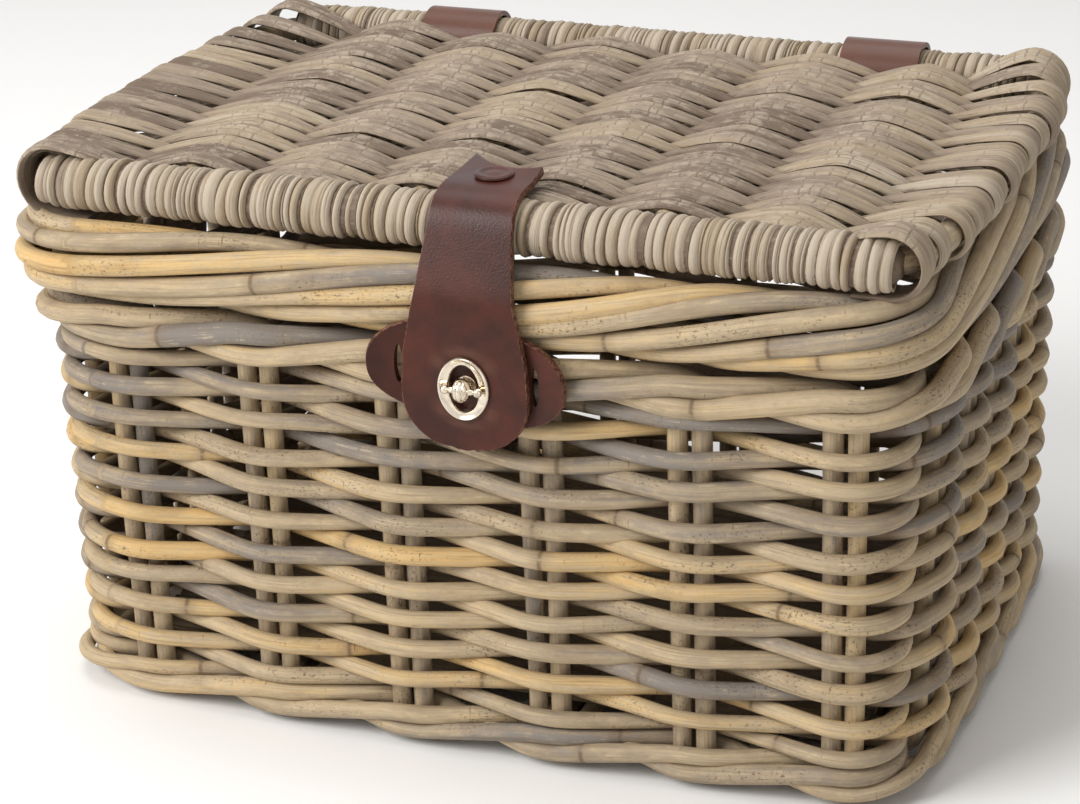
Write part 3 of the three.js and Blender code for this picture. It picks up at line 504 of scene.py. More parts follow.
def whole_cane(context):
    """Whole rattan with its skin on, weathered: matt, finely streaked along its length, cloudy with brown
    stains, a tone of its own between growth rings, faint specks in patches, and painted shade inside the
    basket."""
    finish, empty = blank_finish("weathered_whole_rattan")
    if not empty:
        return finish
    shades = context.scene.basket_colours
    made = cane_patterns(
        finish,
        values=("tone", "inside"),
        noises={
            "streak": ((35, 0.8, 0.8), 4.0, 0.6),
            "broad": ((80, 3.5, 3.5), 3.0, 0.55),
            "mottle": ((9, 4, 4), 5.0, 0.7),
            "stain": ((28, 8, 8), 4.0, 0.65),
            "patch": ((60, 16, 16), 2.0, 0.55),
            "fleck": ((1.5, 0.9, 0.9), 2.0, 0.55),
        },
        cells={
            "stretch": (230, "F1", "Color"),
            "ring": (230, "DISTANCE_TO_EDGE", "Distance"),
            "split": (11, "DISTANCE_TO_EDGE", "Distance"),
        },
        masks={
            "lines": ("streak", 0.5, 0.7, 0.0, 0.52),
            "clouds": ("stain", 0.5, 0.68, 0.0, 0.42),
            "rubbed": ("mottle", 0.52, 0.66, 0.0, 0.5),
            "even": ("streak", 0.5, 0.38, 0.0, 1.0),
            "dots": ("fleck", 0.57, 0.68, 0.0, 0.7),
            "dotted": ("patch", 0.52, 0.62, 0.12, 1.0),
            "cleft": ("split", 0.035, 0.012, 0.0, 0.6),
            "brittle": ("mottle", 0.54, 0.62, 0.0, 1.0),
            "cracked": ("patch", 0.46, 0.54, 0.0, 1.0),
            "ring_edge": ("ring", 0.006, 0.0015, 0.0, 1.0),
            "ring_dirt": ("mottle", 0.4, 0.52, 0.15, 0.6),
            "ring_stain": ("ring", 0.026, 0.003, 0.0, 0.4),
            # painted shade inside the basket
            "inner": ("inside", 0.0, 1.0, 0.0, 0.72),
            "dullness": ("mottle", 0.3, 0.7, 0.58, 0.8),
        },
        products={
            "scuff": ("rubbed", "even"),
            "speck": ("dots", "dotted"),
            "crack": ("cleft", "brittle", "cracked"),
            "ring_line": ("ring_edge", "ring_dirt"),
        },
    )
    stretch = add_node(finish, "SeparateColor", links={"Color": made["stretch"]})
    level = add_node(finish, "Math", {"operation": "ADD", 1: -0.75}, {0: made["tone"]})
    for part, weight in ((made["mottle"], 0.5), (made["broad"], 0.7), (stretch, 0.3)):
        level = add_node(finish, "Math", {"operation": "MULTIPLY_ADD", 1: weight}, {0: part, 2: level})
    skin = add_node(
        finish,
        "ValToRGB",
        links={"Fac": level},
        stops=[
            (0.1, shades.slate),
            (1.0, shades.amber),
            (0.34, shades.grey),
            (0.55, shades.beige),
            (0.78, shades.honey),
        ],
    )
    stained = add_node(finish, "Math", {"operation": "MAXIMUM"}, {0: made["lines"], 1: made["clouds"]})
    marks = made["speck"]
    for mark in ("crack", "ring_line"):
        marks = add_node(finish, "Math", {"operation": "MAXIMUM"}, {0: marks, 1: made[mark]})
    for mask, shade in (
        (stained, shades.stain),
        (made["scuff"], shades.pale),
        (made["ring_stain"], shades.stain),
        (marks, shades.dirt),
        # painted shade inside the basket, laid over the rest
        (made["inner"], shades.inside),
    ):
        skin = add_node(finish, "Mix", {"data_type": "RGBA", 7: (*shade, 1.0)}, {0: mask, 6: skin})
    height = add_node(finish, "Math", {"operation": "MULTIPLY", 1: 0.7}, {0: made["streak"]})
    for part, weight in ((made["mottle"], 0.35), (marks, -0.4)):
        height = add_node(finish, "Math", {"operation": "MULTIPLY_ADD", 1: weight}, {0: part, 2: height})
    bump = add_node(finish, "Bump", {"Strength": 0.5, "Distance": 0.9 * MM}, {"Height": height})
    shader = add_node(
        finish,
        "BsdfPrincipled",
        {"IOR": 1.45, "Specular IOR Level": 0.4},
        {"Base Color": skin, "Roughness": made["dullness"], "Normal": bump},
    )
    add_node(finish, "OutputMaterial", links={"Surface": shader})
    return finish


def split_cane(context):
    """Split rattan, flat and dry: straight fibres along the strip, cross cracks and pale scuffs where it
    bends over a rib, and painted shade where it dips under a rib. Bend is 1 on a crest, and dip is 1 where
    the strip lies lowest."""
    finish, empty = blank_finish("dry_split_rattan")
    if not empty:
        return finish
    shades = context.scene.basket_colours
    made = cane_patterns(
        finish,
        values=("tone", "bend", "dip_shade"),
        noises={
            "fibre": ((35, 0.6, 1.2), 4.0, 0.6),
            "broad": ((50, 2.2, 3), 3.0, 0.55),
            "mottle": ((8, 3.5, 3.5), 5.0, 0.7),
        },
        cells={"split": (6.4, "DISTANCE_TO_EDGE", "Distance")},
        masks={
            "rubbed": ("mottle", 0.48, 0.6, 0.0, 0.6),
            # painted shade where the strip dips under a rib
            "hollow_shade": ("dip_shade", 0.0, 1.0, 0.0, 0.45),
            "cleft": ("split", 0.1, 0.03, 0.0, 0.5),
            "brittle": ("mottle", 0.47, 0.56, 0.0, 1.0),
            "groove": ("fibre", 0.45, 0.3, 0.0, 0.6),
            "dullness": ("mottle", 0.3, 0.7, 0.58, 0.8),
        },
        products={"scuff": ("rubbed", "bend"), "crack": ("cleft", "brittle", "bend")},
    )
    level = add_node(finish, "Math", {"operation": "ADD", 1: -0.75}, {0: made["tone"]})
    for part, weight in ((made["mottle"], 0.6), (made["broad"], 0.9)):
        level = add_node(finish, "Math", {"operation": "MULTIPLY_ADD", 1: weight}, {0: part, 2: level})
    face = add_node(
        finish,
        "ValToRGB",
        links={"Fac": level},
        stops=[
            (0.12, shades.strip_brown),
            (0.95, shades.strip_pale),
            (0.42, shades.strip),
            (0.68, shades.strip_warm),
        ],
    )
    marks = add_node(finish, "Math", {"operation": "MAXIMUM"}, {0: made["crack"], 1: made["groove"]})
    for mask, shade in (
        (made["scuff"], shades.strip_pale),
        # painted shade where the strip dips under a rib
        (made["hollow_shade"], shades.strip_brown),
        (marks, shades.dirt),
    ):
        face = add_node(finish, "Mix", {"data_type": "RGBA", 7: (*shade, 1.0)}, {0: mask, 6: face})
    fibres = add_node(finish, "Math", {"operation": "MULTIPLY", 1: 0.9}, {0: made["fibre"]})
    height = add_node(finish, "Math", {"operation": "SUBTRACT"}, {0: fibres, 1: made["crack"]})
    bump = add_node(finish, "Bump", {"Strength": 0.6, "Distance": 0.8 * MM}, {"Height": height})
    shader = add_node(
        finish,
        "BsdfPrincipled",
        {"IOR": 1.45, "Specular IOR Level": 0.4},
        {"Base Color": face, "Roughness": made["dullness"], "Normal": bump},
    )
    add_node(finish, "OutputMaterial", links={"Surface": shader})
    return finish


def tanned_leather(context):
    """Waxed vegetable-tanned leather: a fine grain, cloudy rubbed places, a soft shine and a paler cut
    edge. Rim is 1 at the cut edges. Halo says how far the leather is drawn paler: round the eyelet, where it
    is pressed, and all over the hinge loops, where the paleness is a painted reflection of the sky."""
    finish, empty = blank_finish("waxed_brown_leather")
    if not empty:
        return finish
    shades = context.scene.basket_colours
    cloud_size, fleck_size = 20.0, 1.6
    grain_size = 0.9  # real grain is about 0.4 mm; it is drawn larger so that it shows
    place = add_node(finish, "TexCoord").outputs["Object"]
    look = {"Scale": 1 / (cloud_size * MM), "Detail": 4.0, "Roughness": 0.6}
    clouds = add_node(finish, "TexNoise", look, {"Vector": place})
    look = {"Scale": 1 / (fleck_size * MM), "Detail": 2.0}
    flecks = add_node(finish, "TexNoise", look, {"Vector": place})
    grain = add_node(finish, "TexVoronoi", {"Scale": 1 / (grain_size * MM)}, {"Vector": place})
    rim = add_node(finish, "Attribute", {"attribute_name": "rim"}).outputs["Fac"]
    halo = add_node(finish, "Attribute", {"attribute_name": "halo"}).outputs["Fac"]
    masks = {}
    for name, source, low, high, faint, strong in (
        ("rubbed", clouds, 0.42, 0.68, 0.0, 1.0),
        ("edge", rim, 0.55, 0.95, 0.0, 0.7),
        ("chafed", flecks, 0.4, 0.6, 0.0, 1.0),
        ("dullness", clouds, 0.3, 0.7, 0.3, 0.44),
    ):
        levels = {"From Min": low, "From Max": high, "To Min": faint, "To Max": strong}
        masks[name] = add_node(finish, "MapRange", levels, {"Value": source})
    # Paler round the eyelet where the strap is pressed, and a painted reflection of the sky on the hinge
    # loops
    paling_and_sheen = add_node(finish, "Math", {"operation": "MULTIPLY", 1: 0.18}, {0: halo})
    worn = add_node(finish, "Math", {"operation": "MULTIPLY"}, {0: masks["edge"], 1: masks["chafed"]})
    hide = {"data_type": "RGBA", 6: (*shades.leather, 1.0), 7: (*shades.leather_red, 1.0)}
    face = add_node(finish, "Mix", hide, {0: masks["rubbed"]})
    for mask in (paling_and_sheen, worn):
        paler = {"data_type": "RGBA", 7: (*shades.leather_edge, 1.0)}
        face = add_node(finish, "Mix", paler, {0: mask, 6: face})
    bump = add_node(finish, "Bump", {"Strength": 0.14, "Distance": 0.3 * MM}, {"Height": grain})
    shader = add_node(
        finish,
        "BsdfPrincipled",
        {"IOR": 1.45, "Specular IOR Level": 0.28},
        {"Base Color": face, "Roughness": masks["dullness"], "Normal": bump},
    )
    add_node(finish, "OutputMaterial", links={"Surface": shader})
    return finish


def plated_nickel(context):
    """Nickel-plated brass, cast and polished: warm white metal with faint clouds of tarnish."""
    finish, empty = blank_finish("polished_nickel_plate")
    if not empty:
        return finish
    shades = context.scene.basket_colours
    cloud_size = 4.0
    place = add_node(finish, "TexCoord").outputs["Object"]
    look = {"Scale": 1 / (cloud_size * MM), "Detail": 4.0, "Roughness": 0.6}
    clouds = add_node(finish, "TexNoise", look, {"Vector": place})
    levels = {"From Min": 0.5, "From Max": 0.75, "To Min": 0.0, "To Max": 0.45}
    tarnish = add_node(finish, "MapRange", levels, {"Value": clouds})
    levels = {"From Min": 0.35, "From Max": 0.7, "To Min": 0.14, "To Max": 0.3}
    dullness = add_node(finish, "MapRange", levels, {"Value": clouds})
    plating = {"data_type": "RGBA", 6: (*shades.nickel, 1.0), 7: (*shades.strip_brown, 1.0)}
    metal = add_node(finish, "Mix", plating, {0: tarnish})
    shader = add_node(
        finish, "BsdfPrincipled", {"Metallic": 1.0}, {"Base Color": metal, "Roughness": dullness}
    )
    add_node(finish, "OutputMaterial", links={"Surface": shader})
    return finish


# Round canes

CANE_STEP = 2.8
PASS_HALF = 6.0  # a cane runs straight for this far on each side of a pair's middle
OVER = 7.8  # from the stakes' middles to those of a cane that passes them


def row_pass(s, row):
    """How far a row stands out: straight past each pair, then straight on to the next pair."""
    places = np.concatenate([PAIRS - PASS_HALF, PAIRS + PASS_HALF])
    sides = np.where((np.arange(len(PAIRS)) + row) % 2 == 0, OVER, -OVER)
    return np.interp(s, places, np.concatenate([sides, sides]), period=ROUND)


def wale_line(low, high, behind):
    """Three rounds of a cane in front of two pairs and behind the third: distances, outs and heights.

    It is low at the first pair and high at the second; behind holds its heights at the third."""
    stops = []
    for visit in range(3 * len(PAIRS) + 1):
        s = PAIRS[visit % len(PAIRS)] + visit // len(PAIRS) * ROUND
        out = -OVER if visit % 3 == 0 else OVER
        before, after = (behind, (low, low), (high, high))[visit % 3]
        stops += [(s - PASS_HALF, out, before), (s + PASS_HALF, out, after)]
    places, outs, heights = np.array(stops).T
    s = np.arange(PAIRS[0], PAIRS[0] + 3 * ROUND - 1, CANE_STEP)
    return s, np.interp(s, places, outs), np.interp(s, places, heights)


def wall_cane(s, out, z, radius, seed, tone, closed=True):
    """A round cane along the wall, a little uneven in thickness."""
    whole = len(s) * CANE_STEP
    thick = radius * (1 + 0.18 * ring_lumps(s, whole, 60, seed + 40) + 0.14 * lumps(seed, 0.7, 5)[0])
    path = softened(wall_points(s, out, z), 4, closed)
    return swept(path, round_section(thick), closed, UP, tone, seed * GRAIN_STRIDE)


class BASKET_OT_weavers(bpy.types.Operator):
    """Weaves a round cane in front of one stake pair and behind the next, row on row"""

    bl_idname = "basket.weavers"
    bl_label = "Weaver rows"

    def execute(self, context):
        sizes = context.scene.basket_canes
        radius = sizes.weaver / 2 / MM
        wander = sizes.unevenness / MM
        wobble, usual_tone = 2.2, 0.49  # height of a row's short bends, and the tone of most canes
        slate_rows, slate = (14, 16, 17, 18), 0.24  # greyer rows, and how much their tone is lower
        s = np.arange(0, ROUND, CANE_STEP)
        for row in range(ROWS):
            out = row_pass(s, row) + 0.8 * ring_lumps(s, ROUND, 60, row + 80)
            z = FIRST_ROW_Z + row * ROW_PITCH
            z = z + wander * ring_lumps(s, ROUND, 180, 1 + row * 0.12)
            z = z + wobble * ring_lumps(s, ROUND, 55, row + 20)
            tone = usual_tone + 0.44 * ring_lumps(s, ROUND, 130, row + 1.5) + 0.4 * lumps(row, 0.8, 2)
            tone = tone - (slate if row in slate_rows else 0.0)
            cane = wall_cane(s, out, z, radius, row + 1, tone)
            cane_piece(
                f"weaver_{row + 1:02d}",
                [cane],
                "basket",
                [f"weaver_row_{row + 1:02d}"],
                whole_cane(context),
            )
        return {"FINISHED"}


class BASKET_OT_wale(bpy.types.Operator):
    """Lays the long wale cane in front of two pairs and behind the third, three times round"""

    bl_idname = "basket.wale"
    bl_label = "Wale"

    def execute(self, context):
        radius = context.scene.basket_canes.wale / 2 / MM
        low, high, ease = 169.3, 179.0, 2.0  # its heights, and how far it eases while it is behind
        s, out, z = wale_line(low, high, (high - ease, low + ease))
        z = z + 1.2 * ring_lumps(s, 3 * ROUND, 90, 5)
        tone = 0.42 + 0.5 * ring_lumps(s, 3 * ROUND, 220, 9)
        cane = wall_cane(s, out, z, radius, 23, tone)
        cane_piece("wale_cane", [cane], "basket", ["wale"], whole_cane(context))
        return {"FINISHED"}


class BASKET_OT_foot(bpy.types.Operator):
    """Lays the long foot canes in front of two pairs and behind the third, along the lower edge"""

    bl_idname = "basket.foot"
    bl_label = "Foot canes"

    def execute(self, context):
        radius = context.scene.basket_canes.weaver / 2 / MM
        low, high = 6.8, 14.6  # heights of the two lower canes
        s, out, z = wale_line(low, high, (high, high))
        z = z + 0.8 * ring_lumps(s, 3 * ROUND, 80, 3)
        tone = 0.46 + 0.5 * ring_lumps(s, 3 * ROUND, 200, 6)
        half = len(s) // 2
        canes = [
            wall_cane(s[part], out[part], z[part], radius, 31 + i, tone[part], closed=False)
            for i, part in enumerate((slice(0, half), slice(half, None)))
        ]
        s = np.arange(0, ROUND, CANE_STEP)
        z = FIRST_ROW_Z - ROW_PITCH + 1.6 * ring_lumps(s, ROUND, 90, 15)
        tone = 0.46 + 0.4 * ring_lumps(s, ROUND, 170, 16)
        canes.append(wall_cane(s, row_pass(s, -1), z, radius, 33, tone))
        for i, cane in enumerate(canes):
            cane_piece(
                f"foot_{i + 1:02d}",
                [cane],
                "basket",
                [f"foot_cane_{i + 1:02d}"],
                whole_cane(context),
            )
        return {"FINISHED"}


def on_oval(share, reach, rise):
    """Places on an oval, by the share of the way round it."""
    angle = np.linspace(0, TURN, 241)
    steps = np.hypot(np.diff(reach * np.cos(angle)), np.diff(rise * np.sin(angle)))
    way = np.concatenate([[0], np.cumsum(steps)]) / np.sum(steps)
    found = np.interp(np.mod(share, 1), way, angle)
    return reach * np.cos(found), rise * np.sin(found)


class BASKET_OT_rim(bpy.types.Operator):
    """Twists the rim canes, two and two, along the top of the wall"""

    bl_idname = "basket.rim"
    bl_label = "Rim canes"

    def execute(self, context):
        radius = context.scene.basket_canes.rim / 2 / MM
        pieces, canes, twists = 4, 8, 3
        bulge_reach, bulge_length = 6.0, 60.0  # the rim stands out at the front left corner
        s = np.arange(0, ROUND, CANE_STEP)
        turns = twists * s / ROUND + 0.22 * ring_lumps(s, ROUND, 170, 2.5)
        from_corner = np.mod(s + ARC / 2 + ROUND / 2, ROUND) - ROUND / 2
        bulge = bulge_reach * np.exp(-((from_corner / bulge_length) ** 2))
        for i in range(pieces):
            made = []
            for k in (2 * i, 2 * i + 1):
                share = turns + k / canes + 0.05 * ring_lumps(s, ROUND, 120, k + 51)
                out, rise = on_oval(share, RIM_REACH - radius, RIM_RISE - radius)
                tone = 0.5 + 0.1 * np.cos(TURN * s / ROUND) + 0.5 * ring_lumps(s, ROUND, 240, k + 4)
                made.append(wall_cane(s, out + bulge, RIM_Z + rise, radius, 41 + k, tone))
            cane_piece(
                f"rim_{i + 1:02d}",
                made,
                "basket",
                [f"border_cane_{i + 1:02d}"],
                whole_cane(context),
            )
        return {"FINISHED"}


def opposite(points, mirror):
    """The same points on the opposite wall."""
    centre = np.array([0, WALL_MIDDLE_Y, 0])
    return (points - centre) * [*mirror, 1] + centre


class BASKET_OT_stakes(bpy.types.Operator):
    """Bends each doubled stake up one wall, under the base and up the other"""

    bl_idname = "basket.stakes"
    bl_label = "Stake hoops"

    def execute(self, context):
        radius = context.scene.basket_canes.stake / 2 / MM
        twin = 5.0  # from a pair's middle to each of its canes
        step = 3.0
        under, across = 4.4, 10.7  # heights under the base, where the side hoops cross the others
        top = STAKE_TOP_Z - twin - 1.5 * radius
        faces = len(FACE_PAIRS)
        hoops = [(f"front_back_{i + 1:02d}", PAIRS[i], (1, -1), under) for i in range(faces)]
        for i in range(len(SIDE_PAIRS)):
            hoops.append((f"left_right_{i + 1:02d}", PAIRS[faces + i], (-1, 1), across))
        for number, (name, place, mirror, floor) in enumerate(hoops):
            corners = []
            for side in (-1, 1):
                run = wall_points(place + side * twin, 0.0, np.array([top, floor]))
                cane = np.concatenate([run, opposite(run[::-1], mirror)])
                corners.append(cane if side < 0 else cane[::-1])
            peak = (corners[0][-1:] + corners[1][:1]) / 2 + [[0, 0, twin]]
            path = softened(evenly(np.concatenate([corners[0], peak, corners[1]]), step), 6)
            travelled = np.arange(len(path)) * step
            thick = radius * (1 + 0.1 * lumps(travelled, 60, number + 2))
            tone = 0.38 + 0.34 * lumps(travelled, 120, number + 9)
            cane = swept(path, round_section(thick, 10), tone=tone, start=(61 + number) * GRAIN_STRIDE)
            cane_piece(
                f"stakes_{name}",
                [cane],
                "basket",
                [f"stake_hoop_{name}"],
                whole_cane(context),
            )
        return {"FINISHED"}


class BASKET_OT_base(bpy.types.Operator):
    """Lays the canes of the base side by side on the crossed stakes"""

    bl_idname = "basket.base"
    bl_label = "Base mat"

    def execute(self, context):
        low, high = (np.array(corner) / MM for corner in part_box("base_mat"))
        count = 30
        pitch = (high[1] - low[1]) / count
        x = np.linspace(low[0], high[0], 60)
        canes = []
        for i in range(count):
            y = low[1] + (i + 0.5) * pitch + 0.5 * lumps(x, 60, i)
            z = (low[2] + high[2]) / 2 + 0.5 * lumps(x, 45, i + 50)
            path = np.stack([x, y, z], -1)
            section = round_section(pitch / 2 - 0.1, 10, flat=0.72)
            tone = 0.48 + 0.35 * lumps(x, 150, i + 90)
            canes.append(swept(path, section, up=UP, tone=tone, start=(81 + i) * GRAIN_STRIDE))
        cane_piece("base_canes", canes, "basket", ["base_mat"], whole_cane(context))
        return {"FINISHED"}


# Lid

SIDE_BOWS = {-1: 7.0, 1: 3.0}  # how far the lid's left and right edges swell at their middles
SIDE_RAIL_RADIUS = 5.6
WRAP_RADIUS = 6.9  # inside of a strip's loop round a side rail
FAN_PLACE, FAN_SPREAD = 15.0, 22.0  # strips fan out most at this distance from a bound rail
FAN_WRAP = 6.4  # how much wider the loops of fanned strips are
FAN_INSETS = {-1: 15.0, 1: 12.0}  # how far in from the left and right rails those loops turn
FAN_REACHES = {-1: 20.0, 1: 12.0}  # how far they lean towards the front and back rails
FAN_WIDTH = 3.2  # how much broader each half of such a strip is
FANNED = 0.25  # from this share on a strip counts as fanned


def side_x(sign, y):
    """Where the left or right rail of the lid runs at a given depth."""
    return sign * (SIDE_RAIL_X + SIDE_BOWS[sign] * (1 - ((y - WALL_MIDDLE_Y) / RAIL_Y) ** 2))


def bound_rail(sign, turns, seed):
    """A rail's core and the flat cane wound round it, turn beside turn."""
    y = WALL_MIDDLE_Y + sign * RAIL_Y
    end = 183.0  # half the rail's length
    wound_end = end - 3
    tip = 12.0  # the winding grows thinner over this length at each end
    x = np.linspace(-end, end, 90)
    core_radius = 10.0 * np.sqrt(np.clip(1 - (np.abs(x) / (end + 1)) ** 40, 0.2, 1))
    core = np.stack([x, np.full_like(x, y), np.full_like(x, RAIL_Z)], -1)
    core = swept(core, round_section(core_radius, 14), up=UP, tone=0.1, start=seed * GRAIN_STRIDE)
    angle = np.arange(0, turns * TURN, TURN / 20)
    turn = angle / TURN
    pitch = 2 * wound_end / turns
    along = -wound_end + pitch * turn + 1.7 * lumps(turn, 1.1, seed)
    radius = 10.5 + 1.1 * lumps(turn, 0.8, seed + 5)
    radius = radius * (1 - 0.16 * smoothstep((np.abs(along) - end + tip) / tip))
    outward = np.stack([np.zeros_like(angle), np.cos(angle), -np.sin(angle)], -1)
    path = np.stack([along, np.full_like(angle, y), np.full_like(angle, RAIL_Z)], -1)
    path = path + radius[:, None] * outward
    half = pitch / 2 * (1.0 + 0.7 * lumps(turn, 1.2, seed + 8))
    tone = 0.9 + 0.6 * lumps(turn, 1.1, seed + 2)
    splits = np.linspace(-1, 1, 3) + np.zeros((len(path), 1))
    splits[:, 1] = np.clip(5.0 * lumps(turn, 8.0, seed + 3), -0.95, 0.95)
    section = band_section(half, 1.9, splits)
    wound = swept(path, section, up=outward, tone=tone, start=seed * GRAIN_STRIDE)
    return [core, wound]


class BASKET_OT_rails(bpy.types.Operator):
    """Binds the front and back rails of the lid and bends the side rails into them"""

    bl_idname = "basket.rails"
    bl_label = "Lid rails"

    def execute(self, context):
        turns = context.scene.basket_lid.turns
        for sign, name in ((-1, "front"), (1, "back")):
            cane_piece(
                f"bound_rail_{name}",
                bound_rail(sign, turns, 121 + sign),
                "lid",
                [f"lid_{name}_rail"],
                split_cane(context),
            )
        bend, lap = 24.0, 12.0  # radius of a corner, and how far the rail runs on into the bound one
        for sign, name in ((-1, "left"), (1, "right")):
            arc = np.linspace(0, TURN / 4, 10)
            x = np.concatenate([[SIDE_RAIL_X - bend - lap], SIDE_RAIL_X - bend + bend * np.sin(arc)])
            y = np.concatenate([[-RAIL_Y], -RAIL_Y + bend * (1 - np.cos(arc))])
            straight = np.linspace(-0.75, 0.75, 12) * RAIL_Y
            swell = np.abs(side_x(sign, WALL_MIDDLE_Y + straight))
            x = sign * np.concatenate([x, swell, x[::-1]])
            y = WALL_MIDDLE_Y + np.concatenate([y, straight, -y[::-1]])
            path = softened(evenly(np.stack([x, y, np.full_like(x, RAIL_Z)], -1), 5.0), 2)
            start = (131 + sign) * GRAIN_STRIDE
            cane = swept(path, round_section(SIDE_RAIL_RADIUS), up=UP, tone=0.35, start=start)
            cane_piece(
                f"side_rail_{name}",
                [cane],
                "lid",
                [f"lid_{name}_rail"],
                whole_cane(context),
            )
        return {"FINISHED"}


RIBS = WEAVE_SHIFT + 51.0 * (np.arange(6) - 2.5)
RIB_Z = RAIL_Z + 3.4


class BASKET_OT_ribs(bpy.types.Operator):
    """Sets the six ribs of the lid between its rails"""

    bl_idname = "basket.ribs"
    bl_label = "Lid ribs"

    def execute(self, context):
        for i in range(len(RIBS)):
            low, high = (np.array(corner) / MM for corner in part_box(f"lid_rib_{i + 1:02d}"))
            y = np.linspace(low[1], high[1], 50)
            x = (low[0] + high[0]) / 2 + 0.4 * lumps(y, 70, i)
            path = np.stack([x, y, np.full_like(y, RIB_Z)], -1)
            thick = 4.4 * (1 + 0.06 * lumps(y, 50, i + 7))
            tone = 0.42 + 0.3 * lumps(y, 90, i + 3)
            cane = swept(path, round_section(thick), up=UP, tone=tone, start=(141 + i) * GRAIN_STRIDE)
            cane_piece(
                f"rib_{i + 1:02d}",
                [cane],
                "lid",
                [f"lid_rib_{i + 1:02d}"],
                whole_cane(context),
            )
        return {"FINISHED"}


def lid_strip(row, y, pitch, sizes):
    """A band of two or three flat canes across the lid, over and under the ribs. Where it comes over a
    side rail it wraps round it, and otherwise it ends under the rail. Close to the bound rails it fans
    out round their ends, and its loop is tucked in under the rail."""
    thickness = sizes.thickness / MM
    hill = sizes.hill / MM
    from_rail = RAIL_Y - abs(y - WALL_MIDDLE_Y)
    fan = math.exp(-(((from_rail - FAN_PLACE) / FAN_SPREAD) ** 2))
    wrap = WRAP_RADIUS + thickness / 2 + 2.6 * lumps(row, 0.7, 9)[0] + FAN_WRAP * fan
    left, right = (side_x(sign, y) - sign * FAN_INSETS[sign] * fan for sign in (-1, 1))
    stops = np.concatenate([[left], RIBS, [right]])
    sides = np.where((np.arange(len(stops)) + row) % 2 == 0, 1.0, -1.0)
    heights = RIB_Z + sides * hill * (1 + 0.3 * lumps(np.arange(len(stops)), 0.7, row))
    heights[[0, -1]] = RAIL_Z + np.where(sides[[0, -1]] > 0, wrap, FAN_WRAP * fan - wrap)
    x = np.linspace(left, right, 121)
    i = np.clip(np.searchsorted(stops, x, side="right") - 1, 0, len(stops) - 2)
    share = (x - stops[i]) / (stops[i + 1] - stops[i])
    ease = 0.4 * share + 0.6 * (1 - np.cos(math.pi * share)) / 2
    z = heights[i] * (1 - ease) + heights[i + 1] * ease
    rise = sides[i] * (1 - ease) + sides[i + 1] * ease
    near_wrap = np.where(np.where(x < 0, sides[0], sides[-1]) > 0, 1.0, 0.3)
    near_wrap = near_wrap * smoothstep((np.abs(x) - SIDE_RAIL_X + 80) / 75)
    towards = -1 if y < WALL_MIDDLE_Y else 1
    reach = min(FAN_REACHES[towards] * fan, from_rail - 2)
    across = y + 1.8 * lumps(x, 45, row + 0.5) + math.copysign(reach, towards) * near_wrap
    path = np.stack([x, across, z], -1)
    normal = np.broadcast_to(UP, path.shape)
    width = pitch / 2 - 0.15 + 2.6 * np.clip(rise, 0, 1) ** 0.8 + FAN_WIDTH * fan * near_wrap
    for end in (0, -1):
        if sides[end] < 0:
            continue
        sign = -1 if end == 0 else 1
        angle = np.radians(np.linspace(78, -100, 15))
        facing = np.stack([sign * np.cos(angle), np.zeros_like(angle), np.sin(angle)], -1)
        loop = facing * wrap + [x[end], across[end], RAIL_Z]
        if fan > FANNED:
            tuck = loop[-1] - np.outer([6, 12], [sign, 0, 0])
            loop = np.concatenate([loop, tuck])
            facing = np.concatenate([facing, facing[[-1, -1]]])
        loop[:, 1] += 0.4 * pitch * np.linspace(0, 1, len(loop))
        ends = np.full(len(loop), width[end])
        if end == 0:
            path = np.concatenate([loop[::-1], path])
            normal = np.concatenate([facing[::-1], normal])
            width = np.concatenate([ends, width])
        else:
            path = np.concatenate([path, loop])
            normal = np.concatenate([normal, facing])
            width = np.concatenate([width, ends])
    travelled = path[:, 0]
    width = width * (1 + 0.12 * lumps(travelled, 80, row + 30))
    tone = 0.36 + 0.6 * lumps(travelled, 110, row + 60) + 0.3 * smoothstep((travelled - 110) / 70)
    canes = 3 if row % 5 == 2 or fan > FANNED else 2
    splits = np.linspace(-1, 1, canes + 1) + np.zeros((len(path), 1))
    splits[:, 1:-1] += 0.5 * lumps(travelled, 60, row + 70)[:, None]
    points, values = swept(
        path, band_section(width, thickness, splits), up=normal, tone=tone, start=(151 + row) * GRAIN_STRIDE
    )
    inner = np.abs(points[..., 0]) < SIDE_RAIL_X
    values["bend"] = smoothstep((points[..., 2] - RIB_Z - 2) / 4) * inner
    # Painted shade: full where the strip dips low, inside the side rails
    values["dip_shade"] = smoothstep((RIB_Z + 3 - points[..., 2]) / 6) * inner
    return points, values


class BASKET_OT_lid_weave(bpy.types.Operator):
    """Weaves the flat canes of the lid over and under its ribs and round its side rails"""

    bl_idname = "basket.lid_weave"
    bl_label = "Lid weave"

    def execute(self, context):
        sizes = context.scene.basket_lid
        low, high = (np.array(corner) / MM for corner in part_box("lid_weave"))
        spread = 2.5  # the strips are laid a little further out than the solid's edges
        first, last = low[1] - spread, high[1] + spread
        pitch = (last - first) / sizes.strips
        strips = [lid_strip(row, first + (row + 0.5) * pitch, pitch, sizes) for row in range(sizes.strips)]
        cane_piece("lid_strips", strips, "lid", ["lid_weave"], split_cane(context))
        return {"FINISHED"}


# Leather

STRAP_HALF = 26.5  # half the strap's width at the lock
STRAP_ROUND_Z = LOCK_Z - 4.5  # where the round end of the strap begins
STRAP_ROUND_DROP = 22.0


